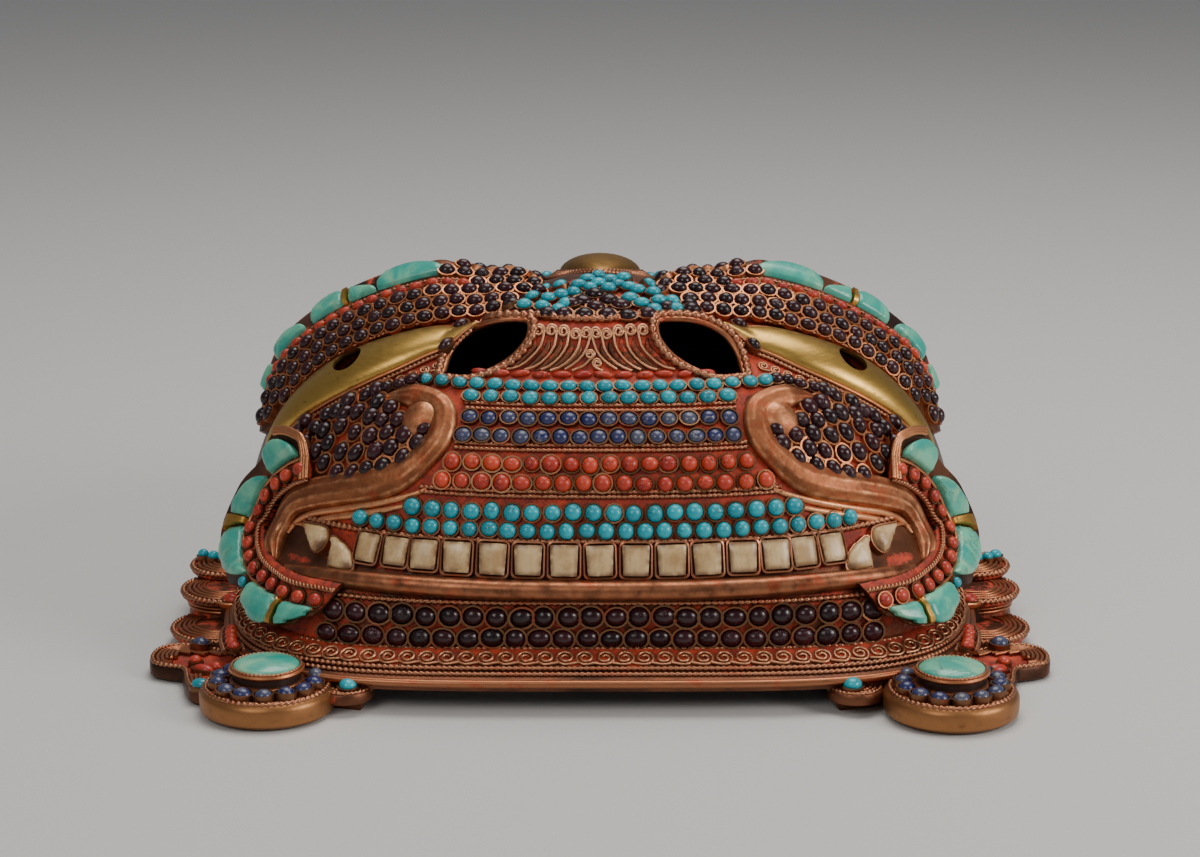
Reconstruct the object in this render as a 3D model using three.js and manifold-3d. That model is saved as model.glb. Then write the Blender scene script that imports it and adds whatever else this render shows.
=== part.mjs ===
// An inlaid copper wall mask of a wrathful guardian, lying on its back with its chin towards -Y.
// A raised copper shell stands on a lobed rim.
// Brows, cheek bands, brass eyes, bone teeth and stones are set on it.
// Millimetres, +Z up. The origin is under the middle of the mask, on the surface that it lies on.
import * as THREE from "three";
import { mergeVertices } from "three/addons/utils/BufferGeometryUtils.js";
import Module from "manifold-3d";

const wasm = await Module();
wasm.setup();

const { clamp, lerp } = THREE.MathUtils;

// Driving dimensions
const HALF_WIDTH = 113; // of the shell, at the height of the mouth
const HALF_LENGTH = 104;
const SHELL_TOP = 105;
const PROFILE_POWER = 2.7; // how boxy the shell is, seen from the side
const CHIN_POWER = 5; // how square its outline is below the mouth
const FOREHEAD = { start: -22, slope: 0.0026, easing: 14 }; // share of the height lost towards the crown
const WALL = 1.8; // thickness of the copper sheet
const FIT_GAP = 0.4; // between a piece and what it is set on
const FOOT = 15.5; // height of the shell's lower edge, where it meets the rim
const MASK_HALF_LENGTH = 136; // from the origin to the end of the crown
const CORE = new THREE.Vector3(0, 0, 20); // the point that the shell is raised around
const RING_HEIGHTS = [FOOT, 24, 32, 40, 47, 58, 71, 84, 95, 101.5, SHELL_TOP]; // of the shell's facets
const REACH = 300; // beyond every part of the mask

const SIDES = { left: -1, right: 1 };

const COPPER = new THREE.MeshStandardMaterial({ color: 0x8a4a2c, roughness: 0.45, metalness: 0.9 });
const BRASS = new THREE.MeshStandardMaterial({ color: 0xb8963c, roughness: 0.3, metalness: 1 });
const BONE = new THREE.MeshStandardMaterial({ color: 0xd9ccb0, roughness: 0.55, metalness: 0 });
const TURQUOISE = new THREE.MeshStandardMaterial({ color: 0x2fa79b, roughness: 0.35, metalness: 0 });
const CORAL = new THREE.MeshStandardMaterial({ color: 0xb83a26, roughness: 0.4, metalness: 0 });
const LAPIS = new THREE.MeshStandardMaterial({ color: 0x2a3658, roughness: 0.35, metalness: 0 });
const GARNET = new THREE.MeshStandardMaterial({ color: 0x241a1e, roughness: 0.2, metalness: 0 });

// Solids

function solidOf(positions, triangles) {
  const mesh = new wasm.Mesh({
    numProp: 3,
    vertProperties: new Float32Array(positions),
    triVerts: new Uint32Array(triangles),
  });
  const solid = new wasm.Manifold(mesh);
  if (solid.volume() > 0) return solid;
  return solidOf(positions, triangles.toReversed());
}

function solidOfGeometry(geometry, place) {
  const bare = geometry.clone().applyMatrix4(place);
  bare.deleteAttribute("normal");
  bare.deleteAttribute("uv");
  const merged = mergeVertices(bare, 1e-4);
  return solidOf([...merged.attributes.position.array], [...merged.index.array]);
}

function meshOf(name, solid, material) {
  const { vertProperties, triVerts, numProp } = solid.getMesh();
  const positions = [];
  for (let i = 0; i < vertProperties.length; i += numProp) {
    positions.push(...vertProperties.subarray(i, i + 3));
  }
  const geometry = new THREE.BufferGeometry();
  geometry.setAttribute("position", new THREE.Float32BufferAttribute(positions, 3));
  geometry.setIndex([...triVerts]);
  geometry.computeVertexNormals();
  const mesh = new THREE.Mesh(geometry, material);
  mesh.name = name;
  return mesh;
}

const joinAll = (solids) => solids.reduce((whole, next) => whole.add(next));
const largestOf = (solid) => solid.decompose().sort((p, q) => q.volume() - p.volume())[0];

// A closed solid through rings of points, each ring with the same number of points. An open one is capped.
function loft(rings, closed = false) {
  const size = rings[0].length;
  const positions = rings.flat().flatMap((p) => p.toArray());
  const triangles = [];
  const spans = closed ? rings.length : rings.length - 1;
  for (let i = 0; i < spans; i++) {
    const here = i * size;
    const next = ((i + 1) % rings.length) * size;
    for (let j = 0; j < size; j++) {
      const k = (j + 1) % size;
      triangles.push(here + j, next + j, next + k, here + j, next + k, here + k);
    }
  }
  if (!closed) {
    const end = (rings.length - 1) * size;
    for (let j = 1; j < size - 1; j++) {
      triangles.push(0, j, j + 1, end, end + j + 1, end + j);
    }
  }
  return solidOf(positions, triangles);
}

function disc({ x, y, radius }, bottom, top, sides, topRadius = radius) {
  const shape = new THREE.CylinderGeometry(topRadius, radius, top - bottom, sides);
  const upright = new THREE.Matrix4().makeRotationX(Math.PI / 2);
  return solidOfGeometry(shape, upright.setPosition(x, y, (bottom + top) / 2));
}

function block(low, high) {
  const size = high.map((v, i) => v - low[i]);
  const middle = high.map((v, i) => (v + low[i]) / 2);
  return solidOfGeometry(new THREE.BoxGeometry(...size), new THREE.Matrix4().setPosition(...middle));
}

// The shell's form: rounded squares stacked from the foot to the top, falling away towards the crown.
// The nose swells out of it above the upper lip.

function ease(x, from, to) {
  const t = clamp((x - from) / (to - from), 0, 1);
  return t * t * (3 - 2 * t);
}

function foreheadFall(y) {
  const past = Math.max(y - FOREHEAD.start, 0);
  return 1 - (FOREHEAD.slope * past * past) / (past + FOREHEAD.easing);
}

// The half width and half length at a height. Lift is how far it all stands proud of the shell.
function outlineAt(z, lift = 0) {
  const share = clamp(z / (SHELL_TOP + lift), 0, 1);
  const narrowing = (1 - share ** PROFILE_POWER) ** (1 / PROFILE_POWER);
  const footTaper = 1 - 0.08 * (1 - ease(z, 8, 36));
  return {
    halfWidth: (HALF_WIDTH + lift) * narrowing * footTaper,
    halfLength: (HALF_LENGTH + lift) * narrowing,
    power: lerp(CHIN_POWER, PROFILE_POWER, ease(z, 12, 44)),
  };
}

const NOSE_HEIGHT = 8;
const NOSE_HALF_WIDTH = 50;
const NOSE_FRONT = -71;
const NOSE_BACK = 2;

const noseBend = (x) => (x * x) / 340;

function noseSwell(x, y) {
  const front = ease(y - noseBend(x), NOSE_FRONT, NOSE_FRONT + 8);
  const back = 1 - ease(y, -45, NOSE_BACK);
  const bridge = ease(y, -58, -40);
  const across = 1 - ease(Math.abs(x), lerp(26, 8, bridge), lerp(NOSE_HALF_WIDTH, 22, bridge));
  return NOSE_HEIGHT * front * back * across;
}

function isInside(p, lift) {
  const z = FOOT + (p.z - noseSwell(p.x, p.y) - FOOT) / foreheadFall(p.y);
  const { halfWidth, halfLength, power } = outlineAt(z, lift);
  if (halfWidth <= 0) return false;
  return (Math.abs(p.x) / halfWidth) ** power + (Math.abs(p.y) / halfLength) ** power < 1;
}

// Where the way from one point to another leaves the shell.
function crossing(from, to, lift) {
  let near = 0;
  let far = 1;
  for (let i = 0; i < 30; i++) {
    const middle = (near + far) / 2;
    if (isInside(from.clone().lerp(to, middle), lift)) near = middle;
    else far = middle;
  }
  return from.clone().lerp(to, near);
}

function onShell(guide, lift = 0) {
  const direction = guide.clone().sub(CORE).normalize();
  return crossing(CORE, CORE.clone().addScaledVector(direction, REACH), lift);
}

function onTop(x, y, lift = 0) {
  return crossing(new THREE.Vector3(x, y, 0), new THREE.Vector3(x, y, REACH), lift);
}

// The front wall at a width and a height.
function onFront(x, z, lift = 0) {
  const { halfWidth, halfLength, power } = outlineAt(z, lift);
  const y = -halfLength * Math.max(1 - (Math.abs(x) / halfWidth) ** power, 0) ** (1 / power);
  return new THREE.Vector3(x, y, z);
}

function shellNormal(guide) {
  const here = onShell(guide);
  const outwards = here.clone().sub(CORE);
  const aside = new THREE.Vector3().crossVectors(outwards, new THREE.Vector3(0, 0.3, 1)).normalize();
  const along = new THREE.Vector3().crossVectors(aside, outwards).normalize();
  const one = onShell(here.clone().add(aside)).sub(here);
  const two = onShell(here.clone().add(along)).sub(here);
  const normal = one.cross(two).normalize();
  return normal.dot(outwards) < 0 ? normal.negate() : normal;
}

// Widths at equal steps along the front wall, at one height. Steps count from the middle.
function widthsAlongFront(z, steps, pitch) {
  const stride = 0.25;
  return steps.map((step) => {
    let walked = 0;
    let x = 0;
    while (walked < Math.abs(step) * pitch) {
      walked += onFront(x, z).distanceTo(onFront(x + stride, z));
      x += stride;
    }
    return Math.sign(step) * x;
  });
}

// The shell as a closed dome. Its facets follow a square grid, ring by ring, down to its lower edge.
// Where the floor is lower than that, a straight skirt reaches it.
function dome(lift, heights, floor) {
  const rings = heights.length - 1;
  const at = (column, row) => {
    const ring = Math.max(Math.abs(column), Math.abs(row));
    const height = heights[rings - ring];
    const z = height + lift * ((height - FOOT) / (SHELL_TOP - FOOT));
    if (ring === 0) return new THREE.Vector3(0, 0, FOOT + (z - FOOT) * foreheadFall(0));
    const { halfWidth, halfLength, power } = outlineAt(z, lift);
    const onOutline = (Math.abs(column) ** power + Math.abs(row) ** power) ** (-1 / power);
    const y = row * onOutline * halfLength;
    return new THREE.Vector3(column * onOutline * halfWidth, y, FOOT + (z - FOOT) * foreheadFall(y));
  };
  const side = 2 * rings + 1;
  const index = (column, row) => (row + rings) * side + column + rings;
  const positions = [];
  for (let row = -rings; row <= rings; row++) {
    for (let column = -rings; column <= rings; column++) positions.push(...at(column, row).toArray());
  }
  const triangles = [];
  for (let row = -rings; row < rings; row++) {
    for (let column = -rings; column < rings; column++) {
      const near = [index(column, row), index(column + 1, row)];
      const corners = [...near, index(column + 1, row + 1), index(column, row + 1)];
      // Each square is split towards the middle of the grid.
      if (column < 0 !== row < 0) corners.push(corners.shift());
      const [p, q, r, s] = corners;
      triangles.push(p, q, r, p, r, s);
    }
  }
  let border = [];
  for (let i = -rings; i < rings; i++) border.push(index(i, -rings));
  for (let i = -rings; i < rings; i++) border.push(index(rings, i));
  for (let i = rings; i > -rings; i--) border.push(index(i, rings));
  for (let i = rings; i > -rings; i--) border.push(index(-rings, i));
  const after = (loop, i) => loop[(i + 1) % loop.length];
  if (floor < FOOT) {
    const lower = border.map((corner) => {
      positions.push(positions[corner * 3], positions[corner * 3 + 1], floor);
      return positions.length / 3 - 1;
    });
    border.forEach((corner, i) => {
      triangles.push(corner, lower[i], after(lower, i), corner, after(lower, i), after(border, i));
    });
    border = lower;
  }
  positions.push(0, 0, floor);
  const middle = positions.length / 3 - 1;
  border.forEach((corner, i) => triangles.push(corner, middle, after(border, i)));
  return solidOf(positions, triangles);
}

const NOSE_ROOT = 0.6; // how far the edges of the nose are sunk into the dome

function noseSolid(inset, columns, steps) {
  const rows = steps.map((step) => NOSE_FRONT + step);
  const rings = rows.map((row) => {
    const top = [];
    const under = [];
    for (let i = 0; i <= columns; i++) {
      const x = (NOSE_HALF_WIDTH + 1 - inset) * ((2 * i) / columns - 1);
      const y = row + noseBend(x);
      const swell = noseSwell(x, y) / NOSE_HEIGHT;
      const z = onTop(x, y).z - inset - NOSE_ROOT * (1 - swell);
      const setBack = y + inset * (1 - ease(row, -60, -40));
      top.push(new THREE.Vector3(x, setBack, z));
      under.unshift(new THREE.Vector3(x, setBack, z - 14));
    }
    return [...top, ...under];
  });
  return loft(rings);
}

// One nostril: an almond of [width, height] points, pointed at its outer lower end.
const NOSTRIL = [
  [44.2, 87.2],
  [42, 95.3],
  [38, 101],
  [30.5, 104.4],
  [19.6, 104.2],
  [19.2, 99.9],
  [22.6, 94.4],
  [28.6, 89.8],
  [36, 86.6],
];

function nostrilCutter(side) {
  const ring = (y) => NOSTRIL.map(([x, z]) => new THREE.Vector3(side * x, y, z - 0.4 * (y + 66)));
  return loft([ring(-84), ring(-40)]);
}

const PUPIL = { guide: new THREE.Vector3(75.6, -50, 86.6), radius: 5 };

function pupilCutter(side) {
  const guide = PUPIL.guide.clone().multiply(new THREE.Vector3(side, 1, 1));
  const shape = new THREE.CylinderGeometry(PUPIL.radius, PUPIL.radius, 30, 12);
  const turn = new THREE.Quaternion().setFromUnitVectors(new THREE.Vector3(0, 1, 0), shellNormal(guide));
  const place = new THREE.Matrix4().compose(onShell(guide), turn, new THREE.Vector3(1, 1, 1));
  return solidOfGeometry(shape, place);
}

// Bands: solids that follow the shell along a line of guides. A section is a list of [across, lift].

function lineOf(guides) {
  const points = guides.map((guide) => new THREE.Vector3(...guide));
  return new THREE.CatmullRomCurve3(points, false, "centripetal");
}

function onBand(line, side, share, across, lift) {
  const guide = line.getPointAt(share);
  const aside = new THREE.Vector3().crossVectors(shellNormal(guide), line.getTangentAt(share)).normalize();
  const place = guide.addScaledVector(aside, across);
  return onShell(place, lift).multiply(new THREE.Vector3(side, 1, 1));
}

function band(line, side, steps, section, from = 0, to = 1) {
  const rings = [];
  for (let i = 0; i <= steps; i++) {
    const share = lerp(from, to, i / steps);
    rings.push(section(share).map(([across, lift]) => onBand(line, side, share, across, lift)));
  }
  return loft(rings);
}

// The lips: a raised roll that curls beside the nose and runs down round each corner of the mouth
const UPPER_LIP = lineOf([
  [65, -67.5, 81.6],
  [60, -70, 82.5],
  [52.4, -74, 82.9],
  [46.8, -78.5, 80.5],
  [48, -85, 73.5],
  [58, -87.5, 63.6],
  [67, -85.5, 59.8],
  [77.7, -80.3, 56.7],
  [86, -75, 53],
  [91.2, -71, 48.8],
  [94.3, -69.6, 43.5],
  [95.5, -70.2, 37.4],
  [91.5, -76.9, 33.7],
]);
const LIP_ROOT = -1.2; // sunk into the shell

const lipSection = (halfWidth, height) => [
  [-halfWidth, LIP_ROOT],
  [-halfWidth * 0.7, height * 0.8],
  [halfWidth * 0.7, height * 0.8],
  [halfWidth, LIP_ROOT],
];

const UPPER_LIP_SIZE = { halfWidth: 4.1, narrowEnd: 3, height: 3.3 };

function upperLip(side) {
  const { halfWidth, narrowEnd, height } = UPPER_LIP_SIZE;
  const tip = (share) => lerp(0.3, 1, ease(share, -0.06, 0.1)) * lerp(1, 0.4, ease(share, 0.85, 1));
  const half = (share) => lerp(halfWidth, narrowEnd, ease(share, 0.5, 0.8)) * tip(share);
  return band(UPPER_LIP, side, 14, (share) => lipSection(half(share), height * lerp(0.4, 1, tip(share))));
}

const LOWER_LIP = { height: 34.6, halfWidth: 89, drop: 3.4, proud: 6, halfThickness: 2.9 };

function lowerLip() {
  const rings = [];
  const steps = 12;
  for (let i = 0; i <= steps; i++) {
    const share = (2 * i) / steps - 1;
    const taper = Math.cos((share * Math.PI) / 2.06) ** 0.35;
    const x = share * LOWER_LIP.halfWidth;
    const z = LOWER_LIP.height - LOWER_LIP.drop * share ** 2;
    const section = lipSection(LOWER_LIP.halfThickness * taper, LOWER_LIP.proud * taper);
    rings.push(section.map(([up, lift]) => onFront(x, z + up, lift)));
  }
  return loft(rings);
}

const shellRoom = dome(FIT_GAP, RING_HEIGHTS, -1); // what the rim and the ears are cut back to

function faceShell() {
  const outside = dome(0, RING_HEIGHTS, FOOT).add(noseSolid(0, 12, [-1.5, 1.5, 4.5, 8, 14, 24, 40, 73]));
  const innerHeights = RING_HEIGHTS.filter((_, i) => i % 2 === 0);
  const inside = dome(-WALL, innerHeights, -1).add(noseSolid(WALL, 6, [0, 4, 8, 20, 40]));
  const lips = joinAll([upperLip(SIDES.left), upperLip(SIDES.right), lowerLip()]);
  const cutters = Object.values(SIDES).flatMap((side) => [nostrilCutter(side), pupilCutter(side)]);
  return outside.add(lips).subtract(joinAll([inside, ...cutters]));
}

// The rim: a sloping band round the shell's foot, turned down at its edge, with lobes that the mask lies on

const RIM = { points: 32, thickness: 0.15 };
const RIM_INNER = { halfWidth: 106.4, halfLength: 103.9, power: 4.9 };
const RIM_OUTER = { halfWidth: 113.7, halfLength: 116.7, power: 4.4 };

// The rim's section: [share of the way from the shell's foot to the outer edge, height].
const RIM_SKIN = [
  [-0.4, 18.5],
  [0.82, 11.5],
  [1, 9.5],
  [1, 0],
];
const RIM_EDGE_BOTTOM = 6.8; // underside of the edge below the chin
const CHIN_ARCH_HALF_WIDTH = 67;

function rimOutline(share, z) {
  const between = (key) => lerp(RIM_INNER[key], RIM_OUTER[key], share);
  const power = between("power");
  return Array.from({ length: RIM.points }, (_, i) => {
    const angle = (2 * Math.PI * (i + 0.5)) / RIM.points;
    const [c, s] = [Math.cos(angle), Math.sin(angle)];
    const scale = (Math.abs(c) ** power + Math.abs(s) ** power) ** (-1 / power);
    return new THREE.Vector3(c * scale * between("halfWidth"), s * scale * between("halfLength"), z);
  });
}

// The ring of a section all the way round.
function rimRing(section) {
  const outlines = section.map(([share, z]) => rimOutline(share, z));
  return loft(outlines[0].map((_, i) => outlines.map((outline) => outline[i])), true);
}

function rimSheet() {
  const front = RIM_SKIN.filter((_, i) => i !== 1);
  const back = front.map(([share, z]) => [share - RIM.thickness, z > 0 ? z - WALL : 0]);
  return rimRing([...RIM_SKIN, ...back.toReversed()]);
}

function rimRoom() {
  const grown = RIM_SKIN.map(([share, z]) => [share + 0.06, z > 0 ? z + FIT_GAP : -1]);
  return rimRing([...grown, [-0.4, -1]]);
}

const EARRINGS = {
  left: { x: -95.5, y: -113.5, radius: 19.5, top: 8 },
  right: { x: 100.5, y: -116.5, radius: 19.5, top: 8 },
};
const SIDE_LOBES = [
  { x: 73.5, y: -111.5, radius: 8.6, bottom: 3.2, top: 6.8 },
  { x: 42, y: MASK_HALF_LENGTH - 26, radius: 18, top: 8 },
  { x: 79, y: MASK_HALF_LENGTH - 34, radius: 17, top: 8 },
];
const CROWN_LOBE = { x: 0, y: MASK_HALF_LENGTH - 24, radius: 24, top: 8 };
const LOBES = [
  ...Object.values(EARRINGS),
  CROWN_LOBE,
  ...Object.values(SIDES).flatMap((side) => SIDE_LOBES.map((lobe) => ({ ...lobe, x: side * lobe.x }))),
];

// The ornaments beside the chin, which run like folded ribbon: the outlines of their two folds.
const RIBBON_FOLDS = [
  [[104, -84], [110, -77], [118.3, -72], [124.8, -69.6], [130.5, -71.5], [133.4, -76], [133.9, -81],
    [131.9, -87.8], [123.5, -91.5], [106, -93]],
  [[100, -88], [122.5, -92], [121.5, -98], [119.5, -106.5], [116, -111], [104, -112], [96, -104]],
];
const RIBBON_TOPS = [5, 4.8];

function ribbonFolds(side) {
  return RIBBON_FOLDS.map((corners, i) => {
    return loft([0, RIBBON_TOPS[i]].map((z) => corners.map(([x, y]) => new THREE.Vector3(side * x, y, z))));
  });
}

function rimPlate() {
  const lobes = LOBES.map((lobe) => {
    return disc(lobe, lobe.bottom ?? 0, lobe.top, 6 + 2 * Math.floor(lobe.radius / 5));
  });
  const ribbons = Object.values(SIDES).flatMap(ribbonFolds);
  const solid = joinAll([rimSheet(), ...lobes, ...ribbons]);
  const chinArch = block(
    [-CHIN_ARCH_HALF_WIDTH, -MASK_HALF_LENGTH, -1],
    [CHIN_ARCH_HALF_WIDTH, -HALF_LENGTH + 8, RIM_EDGE_BOTTOM],
  );
  return largestOf(solid.subtract(shellRoom).subtract(chinArch));
}

// The ears: tiers of curled lobes, each higher than the one before
const EAR_TIERS = [
  { x: 116, y: -52, radius: 15, top: 4.8 },
  { x: 115.5, y: -35.5, radius: 14.3, top: 11.8 },
  { x: 116.5, y: -20, radius: 12.2, top: 14.8 },
];
const EAR_CUP = { x: 117, y: -50, radius: 4.2, top: 12 }; // a tall round setting on the lowest tier

function ear(side) {
  const tiers = EAR_TIERS.map(({ x, y, radius, top }) => {
    return disc({ x: side * x, y, radius }, 0, top, 10, radius - 1);
  });
  const cup = disc({ ...EAR_CUP, x: side * EAR_CUP.x }, 0, EAR_CUP.top, 8);
  return largestOf(joinAll([...tiers, cup]).subtract(shellRoom).subtract(rimRoom()));
}

// The brows: a wedge over each eye, rising from the eye's upper edge to a ridge with flames along it
const BROW = lineOf([
  [16, -38, 105],
  [24, -36, 105],
  [36, -34.5, 104],
  [46, -33, 102.5],
  [57, -31.5, 100],
  [68, -30, 96.5],
  [79, -27.5, 91],
  [89, -25, 84.5],
  [97, -24.5, 76],
  [102, -26, 68],
  [104.5, -29, 60],
  [105.5, -32, 53],
]);
const BROW_FRONT = -12;
const BROW_RIDGE = { across: 11, lift: 12.5 };
const BROW_BACK = 15;
const BROW_END = 0.09; // share of its length over which its inner end is rounded
const NOSE_CLEARANCE = 2.2; // under the inner ends of the brows and eyes

function browSwell(share) {
  const innerEnd = lerp(0.2, 0.58, ease(share, -0.02, 0.07)) + lerp(0, 0.42, ease(share, 0.1, 0.3));
  return innerEnd * lerp(1, 0.25, ease(share, 0.7, 0.95));
}

const rootLift = (share) => FIT_GAP + NOSE_CLEARANCE * (1 - ease(share, 0.05, 0.3));

function onBrow(share, across) {
  const slope = (across - BROW_FRONT) / (BROW_RIDGE.across - BROW_FRONT);
  return lerp(2, BROW_RIDGE.lift * browSwell(share), slope);
}

function browSection(share) {
  const swell = browSwell(share);
  const narrow = lerp(0.4, 1, swell);
  const root = rootLift(share);
  const roundEnd = Math.sqrt(1 - (1 - Math.min(share / BROW_END, 1)) ** 2);
  const front = BROW_FRONT * lerp(0.7, 1, swell) * lerp(0.25, 1, roundEnd);
  const ridge = BROW_RIDGE.across * narrow * lerp(0.2, 1, roundEnd);
  const back = BROW_BACK * narrow * lerp(0.25, 1, roundEnd);
  const top = Math.max(Math.max(BROW_RIDGE.lift * swell, 2.6) * lerp(0.35, 1, roundEnd), root + 0.8);
  return [
    [front, root],
    [front, Math.max(Math.min(2, top), root + 0.4)],
    [ridge, top],
    [back, Math.max(top * 0.5, root + 0.4)],
    [back, root],
    [ridge * 0.45, root],
    [front * 0.33, root],
  ];
}

const brow = (side) => band(BROW, side, 14, browSection);

// The cheek bands: a collar round each corner of the mouth that flares away from the face.
// Their lower ends stand clear of the chin.
const CHEEK_BAND = lineOf([
  [87, -71.5, 60.5],
  [92.3, -67.2, 57.2],
  [98.8, -62, 50],
  [102.5, -60.5, 40],
  [102.8, -67, 35],
  [101.5, -77, 31.5],
  [96.5, -87.5, 29.6],
  [89.9, -94.7, 28.8],
  [82.5, -98.8, 28.7],
]);
const CORAL_LANE = 3.6; // half its width
const FLARE = { gentle: 0.36, start: 3.4, thickness: 2.6 };

// How far the lower end stands clear of the chin.
const standOff = (share) => 2.4 * ease(share, 0.72, 0.86);

function flareLift(share, across) {
  return FLARE.start + FLARE.gentle * Math.max(across - CORAL_LANE, 0) + standOff(share) / 2;
}

// How far the flames reach beyond the coral lane: [share of the band's length, reach].
const FLAME_REACH = [
  [0, 5],
  [0.14, 11],
  [0.215, 7.5],
  [0.38, 12],
  [0.52, 9.5],
  [0.63, 5.5],
  [0.73, 9.5],
  [0.85, 8.6],
  [1, 2.5],
];

function reachAt(share) {
  const next = Math.max(1, FLAME_REACH.findIndex(([at]) => at >= share));
  const [from, low] = FLAME_REACH[next - 1];
  const [to, high] = FLAME_REACH[next];
  return lerp(low, high, (share - from) / (to - from));
}

function cheekSection(share) {
  const edge = CORAL_LANE + reachAt(share);
  const root = FIT_GAP + standOff(share);
  const top = flareLift(share, edge);
  return [
    [-CORAL_LANE, root],
    [-CORAL_LANE, flareLift(share, 0) - 0.8],
    [CORAL_LANE, flareLift(share, 0)],
    [edge, top],
    [edge, top - FLARE.thickness],
    [CORAL_LANE, root],
  ];
}

const cheekBand = (side) => band(CHEEK_BAND, side, 18, cheekSection);

// A flame: a flat-backed stone along its band. Its section is a low cabochon.
// Widths are those at its start, its middle and its end.
const STONE_RISE = 2.2;

function flameStone(line, side, bed, { from, to, inner, widths }) {
  const [first, halfway, last] = widths;
  return band(line, side, 3, (share) => {
    const along = (share - from) / (to - from);
    const ends = first * (1 - along) * (1 - 2 * along) + last * along * (2 * along - 1);
    const outer = inner + ends + 4 * halfway * along * (1 - along);
    const middle = (inner + outer) / 2;
    return [
      [inner, bed(share, inner) + FIT_GAP],
      [inner, bed(share, inner) + 1],
      [middle, bed(share, middle) + STONE_RISE],
      [outer, bed(share, outer) + 1],
      [outer, bed(share, outer) + FIT_GAP * 2],
    ];
  }, from, to);
}

const CHEEK_FLAMES = [
  { from: 0.05, to: 0.2, widths: [1.5, 7, 6] },
  { from: 0.225, to: 0.374, widths: [1.4, 5.8, 8.6] },
  { from: 0.396, to: 0.605, widths: [8.8, 6.6, 1.4] },
  { from: 0.665, to: 0.838, widths: [4.5, 7.6, 7] },
  { from: 0.862, to: 0.975, widths: [6.6, 4.4, 1.4] },
].map((flame) => ({ ...flame, inner: CORAL_LANE + 0.6 }));

const BROW_FLAMES = [
  { from: 0.27, to: 0.45, widths: [2, 6, 4] },
  { from: 0.465, to: 0.532, widths: [1.4, 3.4, 4.6] },
  { from: 0.549, to: 0.645, widths: [4.8, 6, 4] },
  { from: 0.665, to: 0.765, widths: [1.4, 4.6, 4.6] },
  { from: 0.78, to: 0.84, widths: [1.4, 4, 5] },
].map((flame) => ({ ...flame, inner: 4 }));

// The eyes: bulging almonds of brass sheet, each with a round hole for the pupil
const EYE = lineOf([
  [36, -54.5, 99.5],
  [45, -54.5, 97],
  [53, -53.8, 95.5],
  [62, -53.2, 91.5],
  [72, -51.2, 86.5],
  [82, -48, 80],
  [90, -45.5, 73],
  [97, -43, 65.5],
  [101, -42, 58],
]);
const EYE_HALF_WIDTH = 9;
const EYE_BULGE = 4;

function eye(side) {
  const section = (share) => {
    const open = Math.sin(Math.PI * clamp(share, 0.02, 0.98));
    const half = EYE_HALF_WIDTH * open ** 0.6;
    const bulge = EYE_BULGE * open ** 0.5;
    const root = rootLift(share);
    return [
      [half, root],
      [half, 1.4],
      [half * 0.5, 1.4 + bulge * 0.75],
      [-half * 0.5, 1.4 + bulge * 0.75],
      [-half, 1.4],
      [-half, root],
      [0, root],
    ];
  };
  return band(EYE, side, 10, section).subtract(pupilCutter(side));
}

// The third eye: a brass dome on a sloping collar, in the middle of the forehead.
const THIRD_EYE = { y: 6, halfWidth: 13, halfLength: 20, collar: 3.5, collarHeight: 4.5, height: 7.5 };

function thirdEye() {
  const { halfWidth, halfLength, collar } = THIRD_EYE;
  const steps = 8;
  const rings = [];
  for (let i = 0; i <= steps; i++) {
    const share = clamp(i / steps, 0.02, 0.98);
    const open = Math.sin(Math.PI * share) ** 0.75;
    const y = THIRD_EYE.y + (halfLength + collar) * (2 * share - 1);
    const at = (x, rise) => {
      const base = onTop(x, y, FIT_GAP);
      return base.setZ(base.z + rise);
    };
    const [inner, outer] = [halfWidth * open, (halfWidth + collar) * open];
    const crest = lerp(THIRD_EYE.collarHeight, THIRD_EYE.height, open);
    const brim = THIRD_EYE.collarHeight * lerp(0.4, 1, open);
    rings.push([
      at(-outer, 0),
      at(-outer, 1.5),
      at(-inner, brim),
      at(0, crest),
      at(inner, brim),
      at(outer, 1.5),
      at(outer, 0),
      at(0, 0),
    ]);
  }
  return loft(rings);
}

// The teeth: a row of bone blocks over the lower lip, with a pair of fangs at each end
const TOOTH = { width: 8, low: 37.7, high: 45.4, proud: 3.2 };
const TOOTH_PLACES = [0, 10.3, 20.6, 30.7, 40.9, 50.4, 58.5, 66.8]; // from the middle of the mouth

function toothFrom(outline) {
  return loft([FIT_GAP, TOOTH.proud].map((lift) => outline.map(([x, z]) => onFront(x, z, lift))));
}

function tooth(x) {
  const half = (TOOTH.width * lerp(1, 0.76, ease(Math.abs(x), 35, 66))) / 2;
  return toothFrom([
    [x - half, TOOTH.low + 0.8],
    [x, TOOTH.low],
    [x + half, TOOTH.low + 0.8],
    [x + half, TOOTH.high],
    [x - half, TOOTH.high],
  ]);
}

const FANGS = {
  lower: [[72, 37.9], [78.3, 37.9], [77.9, 40.6], [77.6, 43], [74.9, 42.3], [72.6, 40.6]],
  upper: [[82.1, 38.1], [83.5, 38.1], [84.9, 41.4], [85.9, 44.7], [79.6, 44.7], [79.3, 42], [80.2, 39.6]],
};

const BEAD_PITCH = 5.7;
const STONE_ROOT = 0.9; // underside of the strip, above the shell
const STONE_SEAT = 1.8;
const STONE_LIFT = 3.6;

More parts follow.
